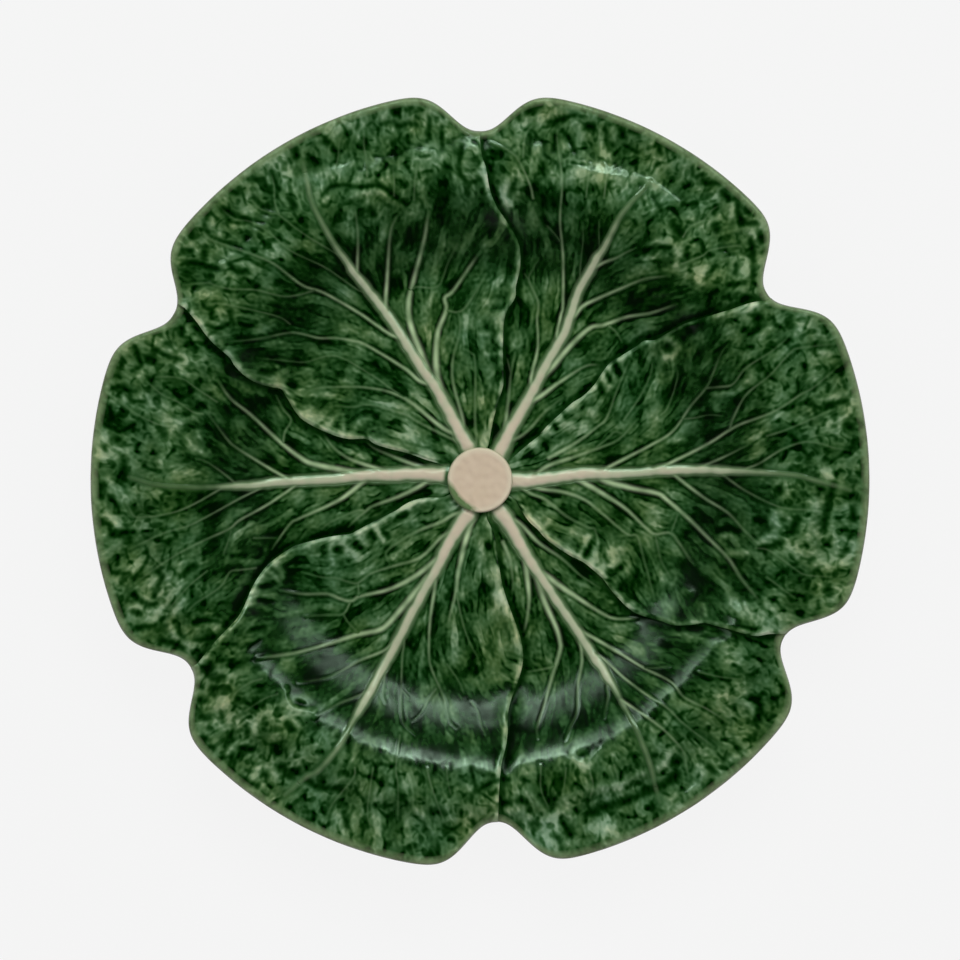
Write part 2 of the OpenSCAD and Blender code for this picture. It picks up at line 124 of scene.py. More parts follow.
# Side veins from their roots outwards, each after half its width at the root
VEINS_PX = [
    # Upper right leaf
    (2.0, (597, 266), (605, 262), (616, 258), (627, 252), (636, 248)),
    (2.3, (575, 315), (583, 306), (597, 299), (622, 288), (644, 279), (658, 277), (670, 276)),
    (3.0, (543, 375), (553, 366), (572, 344), (590, 328), (604, 325), (627, 317), (651, 313),
     (677, 304)),
    (1.0, (609, 326), (616, 332), (622, 342)),
    (2.5, (539, 397), (560, 382), (580, 369), (590, 365), (599, 365)),
    (1.5, (524, 434), (543, 414), (553, 405), (563, 398)),
    (1.9, (557, 334), (561, 315), (563, 304), (563, 258), (560, 220), (562, 180), (557, 137),
     (560, 129), (567, 123)),
    (0.9, (560, 241), (553, 232), (546, 225)),
    (1.9, (531, 379), (537, 353), (538, 336), (537, 319), (538, 302), (529, 280), (533, 269),
     (539, 258)),
    (0.9, (529, 280), (524, 273)),
    (1.8, (505, 430), (508, 404), (511, 373), (515, 353)),
    (0.9, (511, 373), (507, 358)),
    (0.9, (580, 275), (581, 258), (583, 241), (583, 224)),
    (0.7, (599, 240), (599, 220)),
    (1.1, (604, 198), (606, 180), (608, 173), (620, 161)),
    (0.8, (608, 173), (604, 163)),
    (0.8, (586, 197), (588, 180), (590, 163)),
    (1.3, (533, 198), (530, 185), (519, 161), (509, 151), (490, 142)),
    (0.9, (523, 157), (524, 142), (527, 132), (534, 124)),
    (0.9, (683, 237), (690, 227), (704, 220), (712, 210), (719, 206)),
    (0.9, (682, 264), (702, 256), (711, 250), (738, 246), (744, 251)),
    # Upper left leaf
    (1.7, (357, 275), (358, 241), (357, 224), (355, 207)),
    (2.3, (385, 310), (387, 281), (390, 236), (395, 220), (400, 213)),
    (3.4, (427, 372), (422, 356), (414, 336), (409, 317), (409, 300), (415, 275), (424, 241),
     (427, 222), (429, 212)),
    (0.9, (411, 290), (417, 287), (438, 286), (448, 263), (459, 241)),
    (3.2, (441, 392), (437, 376), (436, 353), (438, 332), (446, 310), (445, 298), (453, 291),
     (469, 268), (480, 252)),
    (1.1, (446, 310), (458, 312), (468, 304), (486, 274)),
    (1.6, (463, 421), (454, 387), (452, 370), (454, 353), (459, 336), (460, 322), (458, 312)),
    (1.0, (476, 442), (475, 420), (475, 363), (471, 353), (464, 349)),
    (2.0, (388, 333), (359, 313), (324, 293), (302, 285), (274, 264), (251, 254), (222, 244),
     (210, 239), (203, 232)),
    (1.0, (315, 290), (298, 295), (281, 296), (256, 290), (232, 289), (217, 286), (207, 283),
     (183, 285)),
    (2.0, (420, 381), (404, 368), (366, 345), (353, 341), (336, 338), (319, 338), (302, 334),
     (288, 333), (257, 339), (227, 342)),
    (2.0, (443, 428), (404, 398), (370, 388), (332, 387), (315, 389), (304, 393)),
    (0.9, (404, 398), (390, 388), (373, 376), (336, 356), (306, 362), (288, 361), (257, 358)),
    (1.2, (448, 437), (420, 423), (404, 414), (370, 405), (353, 407), (336, 406)),
    (0.9, (344, 258), (325, 247), (298, 230), (279, 215), (271, 213), (259, 208), (252, 200)),
    (0.8, (279, 214), (275, 203), (274, 186), (271, 173)),
    (0.9, (358, 290), (326, 268), (291, 251), (271, 234), (251, 222), (235, 219), (225, 212),
     (218, 203)),
    (0.8, (290, 324), (279, 317), (252, 310), (223, 304), (207, 304)),
    (1.0, (367, 176), (366, 159), (364, 146), (364, 131)),
    (0.8, (334, 170), (338, 159), (339, 144), (342, 135)),
    (0.8, (394, 196), (394, 180), (393, 168)),
    (0.8, (414, 200), (415, 180), (417, 163)),
    # Left leaf
    (3.0, (360, 474), (327, 467), (310, 463), (298, 456), (279, 441), (251, 415), (230, 398),
     (218, 380)),
    (1.2, (283, 443), (285, 432), (291, 420), (283, 409), (276, 395)),
    (2.3, (380, 470), (363, 464), (348, 458), (334, 448), (324, 435)),
    (2.0, (420, 467), (404, 461), (376, 449), (366, 441)),
    (1.9, (288, 479), (264, 465), (237, 448), (227, 439), (212, 419), (205, 411)),
    (1.2, (236, 484), (223, 473), (205, 461), (196, 459)),
    (0.8, (203, 414), (193, 412), (178, 402), (163, 395), (147, 382)),
    (0.8, (217, 402), (196, 388), (185, 380), (173, 377), (156, 377)),
    (0.8, (176, 426), (161, 425), (146, 419), (130, 410), (120, 402)),
    (2.5, (360, 484), (341, 499), (314, 512), (298, 519), (290, 524), (276, 543), (272, 550)),
    (2.2, (420, 486), (400, 496), (373, 506), (366, 511), (353, 522), (348, 528)),
    (1.0, (366, 511), (356, 511), (331, 522), (322, 529)),
    (1.7, (292, 488), (267, 505), (240, 520), (229, 529), (205, 540), (181, 552), (159, 566),
     (135, 583)),
    (0.8, (231, 531), (229, 539), (223, 555)),
    (1.3, (261, 488), (237, 500), (210, 515), (188, 526), (164, 533), (129, 549)),
    (1.2, (222, 488), (198, 502), (178, 511), (156, 516), (144, 517), (134, 516), (126, 502)),
    (1.0, (256, 568), (240, 570), (230, 572), (220, 587), (195, 604), (186, 614)),
    (0.8, (207, 571), (188, 587), (169, 609)),
    (0.9, (254, 538), (276, 538)),
    # Lower left leaf
    (1.7, (455, 514), (441, 522), (420, 530), (402, 540), (387, 551), (387, 558), (390, 565)),
    (1.6, (443, 536), (426, 553), (415, 560), (390, 567), (370, 574), (358, 583), (349, 582),
     (336, 578), (321, 577), (302, 572)),
    (0.9, (358, 583), (359, 596)),
    (2.6, (440, 557), (414, 577), (390, 589), (366, 595), (358, 597), (351, 601), (341, 599),
     (327, 594), (304, 594), (281, 591)),
    (1.1, (351, 601), (343, 614), (329, 615), (304, 616)),
    (0.9, (343, 614), (348, 622), (358, 633)),
    (3.2, (426, 580), (403, 607), (387, 625), (376, 631), (356, 635), (331, 643), (295, 653),
     (257, 658)),
    (1.8, (395, 641), (383, 651), (361, 660), (341, 671), (329, 677), (310, 681), (298, 682)),
    (1.5, (369, 690), (358, 696), (336, 705), (314, 718)),
    (2.8, (472, 518), (464, 546), (458, 573), (456, 592), (450, 616), (448, 627)),
    (1.0, (456, 592), (463, 624), (470, 643), (478, 658)),
    (1.9, (435, 585), (430, 621), (429, 654), (432, 670), (443, 696), (449, 719), (456, 728)),
    (1.2, (404, 644), (402, 661), (402, 717), (415, 734)),
    (0.9, (402, 690), (409, 698)),
    (0.9, (400, 735), (396, 768), (398, 785), (398, 819)),
    (1.0, (436, 689), (429, 699), (420, 714), (412, 721)),
    (1.3, (385, 672), (383, 694), (386, 703)),
    (1.0, (471, 702), (478, 712), (481, 724), (485, 734)),
    (0.8, (447, 664), (458, 680), (464, 694)),
    (0.9, (355, 768), (353, 778), (334, 802), (327, 816)),
    (0.9, (373, 768), (368, 804), (368, 817), (372, 832)),
    (1.0, (427, 768), (431, 785), (444, 822)),
    (0.8, (446, 765), (448, 782), (451, 795)),
    (0.9, (262, 679), (251, 682), (240, 689), (232, 697)),
    (0.7, (278, 694), (264, 699), (245, 711)),
    # Lower right leaf
    (2.0, (519, 523), (539, 543), (561, 558), (580, 575), (600, 588)),
    (3.0, (546, 576), (566, 590), (587, 604), (607, 616), (619, 619), (638, 618)),
    (2.2, (577, 629), (597, 640), (621, 654), (644, 668), (671, 682), (684, 697), (707, 709),
     (729, 723)),
    (0.8, (644, 668), (656, 668), (670, 666)),
    (1.8, (602, 658), (622, 676), (644, 693), (666, 707), (684, 724), (714, 747)),
    (1.8, (621, 700), (644, 715), (665, 731), (683, 751), (686, 765), (689, 779)),
    (2.8, (526, 566), (529, 597), (527, 619), (524, 632)),
    (3.0, (538, 578), (544, 600), (556, 627), (560, 641), (560, 651), (552, 677), (544, 706),
     (537, 728), (538, 738)),
    (1.2, (555, 666), (549, 668), (527, 672)),
    (2.0, (580, 638), (582, 660), (578, 685), (577, 711), (571, 726), (565, 740)),
    (1.3, (607, 687), (608, 697), (604, 718)),
    (1.6, (503, 542), (510, 560), (513, 583), (512, 594)),
    (0.8, (541, 765), (541, 789), (549, 809)),
    (0.8, (566, 768), (564, 790)),
    (0.9, (590, 773), (593, 785), (590, 798)),
    (0.8, (614, 765), (618, 778)),
    (0.8, (699, 672), (721, 677), (741, 679)),
    # Right leaf
    (2.0, (655, 469), (670, 463), (706, 445), (728, 431), (741, 424), (773, 412), (800, 395),
     (814, 387), (839, 366)),
    (1.2, (730, 429), (733, 419), (746, 395), (770, 375), (790, 353), (800, 348), (834, 344)),
    (2.0, (609, 467), (651, 445), (673, 431), (690, 407), (706, 388), (712, 376), (721, 354),
     (728, 344)),
    (1.2, (706, 388), (719, 387), (733, 384), (746, 368), (772, 351), (784, 341), (790, 334)),
    (0.9, (682, 419), (694, 418), (709, 415), (723, 416)),
    (2.0, (546, 467), (577, 456), (604, 446), (619, 439), (638, 419)),
    (0.9, (597, 447), (609, 437), (615, 432), (624, 434)),
    (1.6, (549, 458), (577, 442), (597, 427), (607, 417), (617, 390), (629, 361)),
    (0.9, (624, 420), (641, 395), (651, 373), (652, 360)),
    (0.8, (661, 415), (668, 407), (677, 380), (677, 368)),
    (1.8, (704, 466), (726, 456), (750, 444)),
    (1.3, (748, 468), (760, 463), (783, 449), (805, 442), (822, 444), (834, 448), (848, 450)),
    (1.0, (767, 436), (783, 431), (807, 421), (834, 409)),
    (2.8, (606, 481), (631, 488), (656, 493), (666, 499), (690, 520), (707, 537), (728, 558),
     (741, 578), (760, 602)),
    (2.5, (583, 482), (605, 495), (626, 509), (646, 528), (655, 534), (670, 533), (679, 543),
     (694, 566)),
    (0.9, (671, 533), (678, 514)),
    (0.9, (655, 534), (661, 560), (671, 578)),
    (1.8, (537, 488), (563, 492), (585, 500), (604, 515), (627, 534), (637, 536), (643, 556),
     (655, 600)),
    (1.5, (530, 493), (546, 500), (566, 516), (587, 527), (595, 530), (599, 548)),
    (2.0, (673, 474), (687, 485), (706, 499), (728, 513), (743, 529), (760, 546)),
    (1.2, (722, 474), (746, 491), (780, 507), (809, 510), (822, 512)),
    (0.8, (756, 548), (770, 551), (795, 569), (806, 575), (831, 577)),
    (0.9, (767, 577), (780, 587), (795, 598)),
]

# Raised folds and blisters, each after half its width
RIDGES_PX = [
    # Upper left leaf
    (5.0, (309, 412), (320, 416)), (2.5, (324, 429), (331, 421), (339, 414)),
    (1.8, (343, 434), (343, 415)), (2.0, (350, 436), (361, 420), (371, 419)),
    (6.5, (373, 437), (393, 440), (414, 446), (428, 453)), (4.5, (276, 381), (282, 380)),
    # The strokes from (349, 197) and from (305, 180) are raised bumps, painted pale partly as a highlight
    # where the lamps are mirrored in them.
    (2.5, (349, 197), (370, 191), (377, 190), (393, 200)),
    (4.0, (305, 180), (319, 174), (343, 169), (353, 164)), (5.0, (494, 317), (500, 317)),
    (3.0, (499, 338), (502, 340)), (1.8, (486, 354), (502, 354)), (2.2, (486, 302), (499, 302)),
    # The short stroke from (481, 334) to (489, 334) is a painted highlight, raised a little as well.
    (2.0, (481, 334), (489, 334)), (2.5, (208, 258), (211, 262)), (2.0, (221, 264), (226, 265)),
    # Left leaf
    (3.0, (174, 429), (180, 422), (190, 419), (207, 412)), (2.5, (186, 437), (193, 448), (207, 454)),
    (2.5, (161, 457), (161, 466)), (2.0, (199, 433), (199, 437)),
    (2.6, (135, 588), (147, 585), (157, 577)), (2.6, (136, 590), (143, 597), (151, 601)),
    (3.2, (153, 621), (158, 611)), (3.0, (107, 550), (121, 541)),
    (3.0, (105, 511), (113, 519), (119, 527)), (2.5, (110, 478), (115, 492), (119, 500)),
    (2.5, (120, 490), (127, 500)), (2.0, (163, 585), (158, 594)), (2.0, (196, 629), (206, 627)),
    (2.5, (184, 600), (171, 617), (171, 627), (178, 637), (190, 640)), (2.0, (129, 607), (139, 607)),
    # Lower left leaf
    (1.5, (266, 570), (273, 574), (277, 580)), (2.3, (252, 592), (262, 593), (272, 596)),
    (1.5, (249, 605), (260, 606), (269, 610)), (2.0, (274, 562), (281, 570), (283, 577)),
    (1.6, (374, 525), (379, 534), (384, 541)), (2.0, (358, 532), (361, 540), (365, 544)),
    (2.5, (331, 546), (331, 555), (334, 563)), (2.5, (343, 542), (348, 549)),
    (3.0, (355, 555), (357, 558)), (3.5, (402, 508), (412, 503), (421, 500)),
    (5.0, (491, 576), (493, 580)), (5.0, (498, 595), (500, 602)), (5.0, (505, 612), (507, 619)),
    (5.0, (510, 627), (512, 632)), (4.0, (515, 640), (516, 645)),
    (3.3, (271, 733), (283, 735), (289, 743), (291, 752)),
    (3.0, (285, 690), (285, 698), (292, 709), (313, 713)), (2.2, (293, 721), (302, 728)),
    (2.0, (228, 753), (236, 745), (246, 742)), (1.5, (247, 756), (255, 753)),
    (3.0, (254, 728), (254, 733)), (2.0, (237, 722), (237, 726)), (2.0, (254, 776), (258, 768)),
    (3.0, (207, 704), (217, 706), (224, 703)), (3.3, (378, 820), (377, 831)),
    (2.5, (407, 812), (407, 826)), (2.5, (417, 809), (427, 821), (434, 832)),
    (3.0, (355, 817), (356, 829)),
    # Lower right leaf
    (3.0, (548, 819), (560, 812), (573, 817), (580, 823)), (5.0, (583, 829), (600, 828), (614, 829)),
    (4.0, (549, 839), (560, 846)), (3.0, (571, 844), (577, 841)), (2.5, (586, 843), (590, 842)),
    (3.0, (593, 789), (607, 786), (620, 785), (634, 777), (644, 772)),
    (3.4, (748, 704), (753, 709), (751, 716)), (3.0, (573, 759), (585, 767), (592, 762), (599, 751)),
    (3.0, (660, 768), (668, 759), (672, 748)), (2.0, (728, 762), (736, 756)),
    (3.0, (702, 768), (703, 778), (697, 787), (687, 795)), (3.5, (510, 809), (517, 813)),
    (2.5, (528, 789), (536, 802), (547, 812)),
    # Right leaf
    (2.5, (665, 358), (673, 354), (678, 348), (675, 341), (668, 339)), (1.8, (622, 358), (622, 370)),
    (2.0, (609, 368), (614, 378)), (2.0, (604, 381), (608, 388)), (4.0, (573, 404), (577, 414)),
    (4.5, (563, 422), (573, 425)), (3.5, (545, 429), (552, 433)), (3.5, (533, 444), (537, 450)),
    (4.0, (583, 425), (583, 429)), (4.0, (592, 412), (594, 414)),
    (3.2, (529, 518), (535, 523), (540, 528)), (1.8, (540, 530), (549, 522)),
    (3.5, (543, 534), (552, 539), (559, 544)), (5.0, (568, 545), (571, 552)),
    (1.6, (588, 536), (585, 546), (580, 555)), (2.5, (597, 543), (598, 551), (594, 560), (590, 566)),
    (4.0, (613, 552), (618, 549)), (4.0, (613, 566), (614, 560)), (4.0, (624, 575), (629, 569)),
    (2.5, (616, 581), (617, 580)), (3.5, (601, 569), (602, 573)), (2.5, (629, 521), (631, 523)),
    (3.0, (790, 514), (780, 512), (774, 515), (778, 526), (773, 534), (760, 543)),
    (3.5, (788, 514), (792, 517)), (2.8, (730, 553), (746, 553)),
    (2.0, (722, 536), (731, 535), (738, 544)), (3.5, (686, 591), (689, 592)),
    (1.2, (704, 604), (706, 615)), (4.5, (814, 492), (816, 505), (811, 522), (809, 539)),
    (3.0, (817, 563), (828, 566)), (2.2, (760, 336), (770, 329)), (2.0, (820, 352), (836, 353)),
    (4.0, (811, 376), (814, 377)), (2.0, (823, 399), (838, 396)), (2.0, (841, 419), (850, 412)),
    (3.5, (816, 461), (822, 470), (828, 476)), (3.0, (750, 371), (751, 381)),
    (1.5, (691, 414), (703, 409)), (1.5, (713, 394), (732, 393)), (1.8, (668, 440), (685, 440)),
    (5.0, (731, 607), (740, 613)), (3.0, (745, 606), (752, 618)),
    # Upper right leaf
    # The first stroke, from (562, 178) to (622, 178), is a painted reflection: a pale patch where a lamp is
    # mirrored, raised a little as well.
    (6.0, (562, 178), (582, 175), (604, 176), (622, 178)),
    (2.2, (648, 246), (660, 242), (671, 244), (677, 252), (676, 266)), (2.0, (643, 288), (636, 298)),
    (1.5, (654, 295), (675, 291)), (3.0, (634, 177), (646, 180), (658, 187), (678, 203)),
    (2.5, (724, 234), (738, 229), (751, 230), (756, 239)), (2.5, (731, 293), (744, 288)),
    (2.5, (733, 205), (731, 215)), (3.0, (566, 145), (567, 148)), (3.0, (581, 133), (582, 136)),
    (3.5, (508, 180), (503, 192), (507, 205)), (2.5, (539, 145), (537, 152)),
]

# Creases and pits where the glaze pools, painted dark partly as pooled glaze and partly as painted shade,
# each after half its width
CREASES_PX = [
    # Upper left leaf
    (3.0, (394, 109), (394, 113)), (2.5, (407, 110), (411, 108)), (2.0, (430, 118), (428, 135)),
    (2.0, (381, 124), (390, 122), (400, 126), (410, 123), (417, 125)),
    (1.8, (442, 127), (441, 139), (443, 150)), (2.5, (419, 146), (421, 147)),
    (2.0, (463, 146), (459, 163), (461, 176), (470, 182), (480, 180)), (2.0, (358, 120), (357, 128)),
    (2.5, (325, 141), (328, 143)), (3.0, (290, 197), (294, 206)),
    (1.8, (322, 195), (331, 187), (344, 185), (361, 187), (380, 186), (397, 198)),
    (3.0, (371, 208), (373, 214)), (2.5, (248, 179), (262, 180)), (2.2, (231, 191), (238, 193)),
    (1.8, (254, 197), (262, 205), (271, 207)), (2.5, (223, 209), (235, 215), (249, 220)),
    (2.0, (207, 215), (205, 227), (212, 236)), (1.6, (215, 238), (229, 243), (240, 248)),
    (2.5, (190, 231), (191, 237)), (3.0, (182, 251), (190, 251)), (3.0, (204, 248), (205, 258)),
    (2.5, (183, 264), (196, 263), (207, 266), (217, 269)), (2.0, (229, 264), (237, 271), (247, 271)),
    (2.5, (284, 163), (284, 169)), (1.5, (271, 171), (279, 190)), (2.5, (296, 150), (296, 156)),
    (2.5, (212, 312), (212, 317)), (2.5, (230, 312), (231, 318)),
    (1.5, (206, 325), (218, 329), (230, 322)), (1.5, (239, 322), (247, 326), (256, 323)),
    (3.0, (262, 371), (272, 371)), (3.0, (291, 384), (295, 386)),
    # Left leaf
    (2.0, (134, 346), (139, 358), (140, 366), (132, 371)), (2.0, (110, 407), (111, 415)),
    (1.8, (113, 388), (122, 387), (129, 393), (132, 400), (144, 402)),
    (1.5, (105, 424), (120, 431), (135, 424)), (3.0, (112, 440), (118, 440)),
    (2.0, (105, 446), (105, 450)), (3.0, (148, 360), (153, 362)),
    (2.0, (156, 349), (163, 354), (181, 360)), (2.5, (166, 344), (170, 344)),
    (2.0, (181, 328), (182, 334)), (5.0, (124, 460), (124, 478)), (3.0, (160, 430), (164, 434)),
    (2.5, (158, 572), (161, 580), (154, 597)), (2.5, (134, 594), (147, 604), (156, 604)),
    (1.6, (147, 549), (147, 560), (137, 575), (133, 578)), (2.5, (119, 608), (124, 616)),
    (2.8, (134, 611), (140, 614)), (1.8, (108, 566), (113, 573), (129, 573)),
    (2.6, (103, 521), (108, 524), (112, 534)), (2.0, (122, 532), (134, 532)),
    (3.0, (101, 485), (100, 497)), (2.6, (184, 575), (188, 569), (193, 566)),
    (1.8, (198, 621), (207, 620), (218, 621)), (2.0, (179, 632), (184, 638), (198, 640), (213, 637)),
    (1.8, (137, 627), (152, 626)), (2.6, (161, 641), (173, 643), (183, 649)),
    # The stroke from (245, 588) to (235, 606) is a painted shadow beside the seam.
    (1.8, (232, 556), (245, 555)), (3.5, (245, 588), (235, 606)),
    # Lower left leaf
    (1.2, (223, 644), (237, 644)), (2.0, (252, 630), (264, 627)), (1.8, (250, 647), (259, 641)),
    (2.8, (210, 665), (206, 672), (213, 678), (223, 677)), (2.5, (262, 587), (274, 583)),
    (1.8, (259, 600), (272, 601)), (3.2, (371, 533), (373, 537)), (2.5, (383, 530), (387, 535)),
    (3.2, (336, 549), (340, 551)), (3.0, (356, 545), (360, 547)),
    (3.5, (385, 528), (395, 521), (405, 514)), (2.6, (488, 544), (489, 548)),
    (2.0, (344, 812), (346, 826)), (2.0, (348, 738), (349, 750)),
    (3.0, (307, 780), (319, 787), (341, 789)), (5.0, (286, 774), (297, 771)),
    (1.6, (471, 768), (476, 789)), (1.6, (482, 788), (492, 782), (503, 779)),
    (1.3, (444, 826), (453, 829), (461, 824)), (2.5, (472, 821), (475, 824)),
    (2.6, (298, 703), (303, 705)), (3.0, (240, 748), (252, 750)), (3.0, (232, 755), (230, 767)),
    (3.0, (265, 774), (267, 777)), (3.0, (244, 781), (256, 785)), (2.3, (211, 747), (213, 748)),
    (2.3, (204, 738), (206, 739)), (3.0, (203, 717), (209, 718)), (3.0, (213, 688), (213, 693)),
    (3.0, (200, 700), (206, 701)), (4.0, (275, 748), (277, 752)), (4.0, (288, 724), (292, 729)),
    (3.0, (246, 727), (248, 732)), (4.0, (279, 767), (291, 777)), (2.0, (221, 714), (223, 722)),
    # Lower right leaf
    (3.2, (563, 823), (570, 834)), (2.3, (551, 836), (557, 838), (563, 848)),
    (3.5, (532, 823), (536, 826)), (2.5, (519, 800), (526, 802)), (2.5, (503, 804), (509, 804)),
    (3.5, (752, 697), (759, 705), (758, 719)),
    (5.0, (592, 812), (610, 806), (640, 795), (665, 783), (676, 775)), (3.0, (709, 767), (713, 770)),
    (4.0, (672, 762), (678, 761)), (2.5, (579, 757), (582, 755)), (3.5, (661, 643), (668, 646)),
    # Right leaf
    (2.3, (614, 362), (619, 373)), (1.8, (607, 373), (610, 380)), (3.4, (599, 382), (602, 393)),
    (4.5, (667, 347), (670, 350)), (1.5, (563, 413), (565, 417)), (1.8, (554, 425), (556, 428)),
    (1.5, (545, 444), (547, 449)), (3.2, (592, 543), (585, 556)), (2.0, (600, 547), (600, 556)),
    (2.2, (609, 571), (617, 569), (622, 566)), (2.2, (604, 556), (608, 562)),
    (2.0, (608, 581), (611, 585)), (2.5, (718, 531), (728, 528), (738, 531)),
    (3.5, (757, 520), (763, 520)), (2.8, (691, 629), (701, 629)),
    (2.5, (760, 548), (773, 545), (782, 543)), (4.0, (797, 519), (792, 532)),
    (3.5, (779, 489), (780, 491)), (3.0, (853, 509), (853, 519)), (2.5, (848, 549), (841, 556)),
    (3.5, (827, 587), (829, 594)), (4.5, (755, 316), (759, 318)), (4.3, (789, 323), (792, 326)),
    (2.0, (688, 328), (691, 330)), (4.5, (847, 424), (850, 427)), (3.0, (826, 406), (846, 401)),
    (3.5, (834, 484), (829, 503), (824, 530)),
    # Upper right leaf
    (2.5, (527, 112), (541, 106)), (2.0, (549, 122), (560, 120), (574, 115)),
    (2.5, (518, 114), (519, 119)), (2.5, (499, 126), (501, 130)), (1.8, (555, 136), (554, 151)),
    (1.8, (568, 136), (575, 152)), (4.0, (588, 126), (592, 128)), (2.4, (605, 129), (609, 149)),
    (2.0, (620, 129), (624, 137)), (2.0, (631, 131), (637, 133)), (2.5, (609, 143), (612, 145)),
    (2.0, (658, 144), (660, 152)), (2.0, (667, 148), (670, 149)), (1.5, (626, 146), (637, 152)),
    (1.5, (531, 137), (529, 154)), (1.6, (543, 163), (544, 174)), (2.0, (516, 180), (509, 196)),
    (2.0, (543, 217), (547, 224)), (2.0, (653, 197), (661, 210)), (5.5, (673, 224), (680, 233)),
    (2.5, (646, 251), (656, 247), (670, 247)), (2.2, (692, 168), (694, 176), (702, 175)),
    (3.2, (703, 182), (718, 184)), (2.8, (722, 192), (728, 198)),
    (2.6, (738, 205), (738, 213), (746, 223), (756, 223)), (2.3, (746, 210), (750, 214)),
    (4.5, (716, 225), (717, 229)), (2.0, (687, 247), (687, 257)), (2.4, (716, 266), (706, 279)),
    (2.0, (736, 264), (736, 274)), (2.6, (751, 240), (753, 255), (753, 275)),
    (2.0, (728, 284), (745, 283)), (3.0, (760, 234), (760, 240)),
]

# Relief raster: its cell, how far it reaches from the middle, and the seed of its noise
CELL = 0.28
REACH = 157.0
SEED = 11


def smooth(x):
    """A soft step from 0 at 0 to 1 at 1."""
    c = np.clip(x, 0, 1)
    return c * c * (3 - 2 * c)


def rise(x, start, stop):
    """A soft step from 0 at a start to 1 at a stop. It falls where the start is above the stop."""
    return smooth((x - start) / (stop - start))


def mix(a, b, share):
    """From a to b by a share."""
    return a + (b - a) * share


def bell(x, width):
    """1 at 0, falling off on both sides over about a width."""
    return np.exp(-((x / width) ** 2))


def dish(r, start_r):
    """Height of the dish over its floor, for a wall that starts to rise at a radius."""
    u = np.clip((r - CREST_R) / (PLATE_R - CREST_R), 0, 1)
    wall = WELL_DEPTH * rise(r, start_r, CREST_R)
    return wall - SEEN_DIP * (1 - np.cos(2 * math.pi * u)) / 2 + RIM_RISE * u**2


def top_z(r):
    """Height of the upper side, without its relief."""
    return FOOT_H + SHELL_T + dish(r, FLOOR_R)


def under_z(r):
    """Height of the underside."""
    return FOOT_H + dish(r, FOOT_R + FOOT_MARGIN)


def rim_r(angle):
    """Radius of the outline in a direction, in degrees."""
    r = PLATE_R + 0 * angle
    for notch, share in zip(NOTCH_ANGLES, NOTCH_DEPTH_SHARES):
        apart = np.abs((angle - notch + 180) % 360 - 180)
        r = r - NOTCH_DEPTH * share * np.exp(-math.log(2) * (apart / NOTCH_HALF_ANGLE) ** NOTCH_POWER)
    return r


def plan(points_px):
    """Pixels of the photograph as millimetres on the plate's surface, seen from the camera."""
    p = (np.array(points_px, float)[:, :2] - PHOTO_SIZE_PX / 2) * MM_PER_PX * (1, -1)
    z = top_z(np.hypot(p[:, 0], p[:, 1]))
    return p * ((CAMERA_Z - z) / (CAMERA_Z - RIM_Z))[:, None]


def smooth_curve(points, step):
    """Points along a Catmull-Rom curve through the given ones, about a step apart."""
    p = np.vstack([2 * points[0] - points[1], points, 2 * points[-1] - points[-2]])
    out = []
    for a, b, c, d in zip(p, p[1:], p[2:], p[3:]):
        n = max(int(np.hypot(*(c - b)[:2]) / step), 1)
        for t in np.arange(n) / n:
            out.append(b + 0.5 * t * (c - a + t * (2 * a - 5 * b + 4 * c - d + t * (3 * (b - c) + d - a))))
    out.append(points[-1])
    return np.array(out)


def lengths(curve):
    """Length along a curve at each of its points."""
    return np.append(0, np.cumsum(np.hypot(*np.diff(curve[:, :2], axis=0).T)))


# Raster helpers

COUNT = int(2 * REACH / CELL) + 1
AXIS = np.arange(COUNT) * CELL - REACH
GRID_X, GRID_Y = np.meshgrid(AXIS, AXIS)
GRID_R = np.hypot(GRID_X, GRID_Y)
FREQ = np.hypot(np.fft.rfftfreq(COUNT, CELL)[None, :], np.fft.fftfreq(COUNT, CELL)[:, None])


def blur(field, sigma):
    """A raster blurred by that many millimetres."""
    return np.fft.irfft2(np.fft.rfft2(field) * np.exp(-2 * (math.pi * sigma * FREQ) ** 2), field.shape)


def band_noise(wavelength, octaves, seed):
    """Noise with waves of about one length, scaled to a standard deviation of 1."""
    white = np.random.default_rng(seed).standard_normal((COUNT, COUNT))
    band = np.exp(-((np.log2(np.maximum(FREQ, 1e-6) * wavelength) / octaves) ** 2))
    field = np.fft.irfft2(np.fft.rfft2(white) * band, white.shape)
    return field / field.std()


def sample(field, x, y):
    """A raster read between its cells."""
    u = np.clip((x + REACH) / CELL, 0, COUNT - 1.001)
    v = np.clip((y + REACH) / CELL, 0, COUNT - 1.001)
    i = u.astype(int)
    j = v.astype(int)
    fu = u - i
    fv = v - j
    low = mix(field[j, i], field[j, i + 1], fu)
    high = mix(field[j + 1, i], field[j + 1, i + 1], fu)
    return mix(low, high, fv)


class Nearest:
    """For each cell, the distance to the nearest curve and what that curve carries there."""

    def __init__(self, reach, count):
        self.reach = reach
        self.distance = np.full((COUNT, COUNT), float(reach))
        self.carried = [np.full((COUNT, COUNT), CELL) for _ in range(count)]

    def add(self, curve, *values):
        half = int(self.reach / CELL) + 1
        for index, (x, y) in enumerate(curve):
            i = int(round((x + REACH) / CELL))
            j = int(round((y + REACH) / CELL))
            window = (
                slice(max(j - half, 0), min(j + half + 1, COUNT)),
                slice(max(i - half, 0), min(i + half + 1, COUNT)),
            )
            d = np.hypot(GRID_X[window] - x, GRID_Y[window] - y)
            closer = d < self.distance[window]
            self.distance[window][closer] = d[closer]
            for field, value in zip(self.carried, values):
                field[window][closer] = value[index]

    def within(self):
        """1 in the cells that a curve reaches, else 0."""
        return self.distance < self.reach


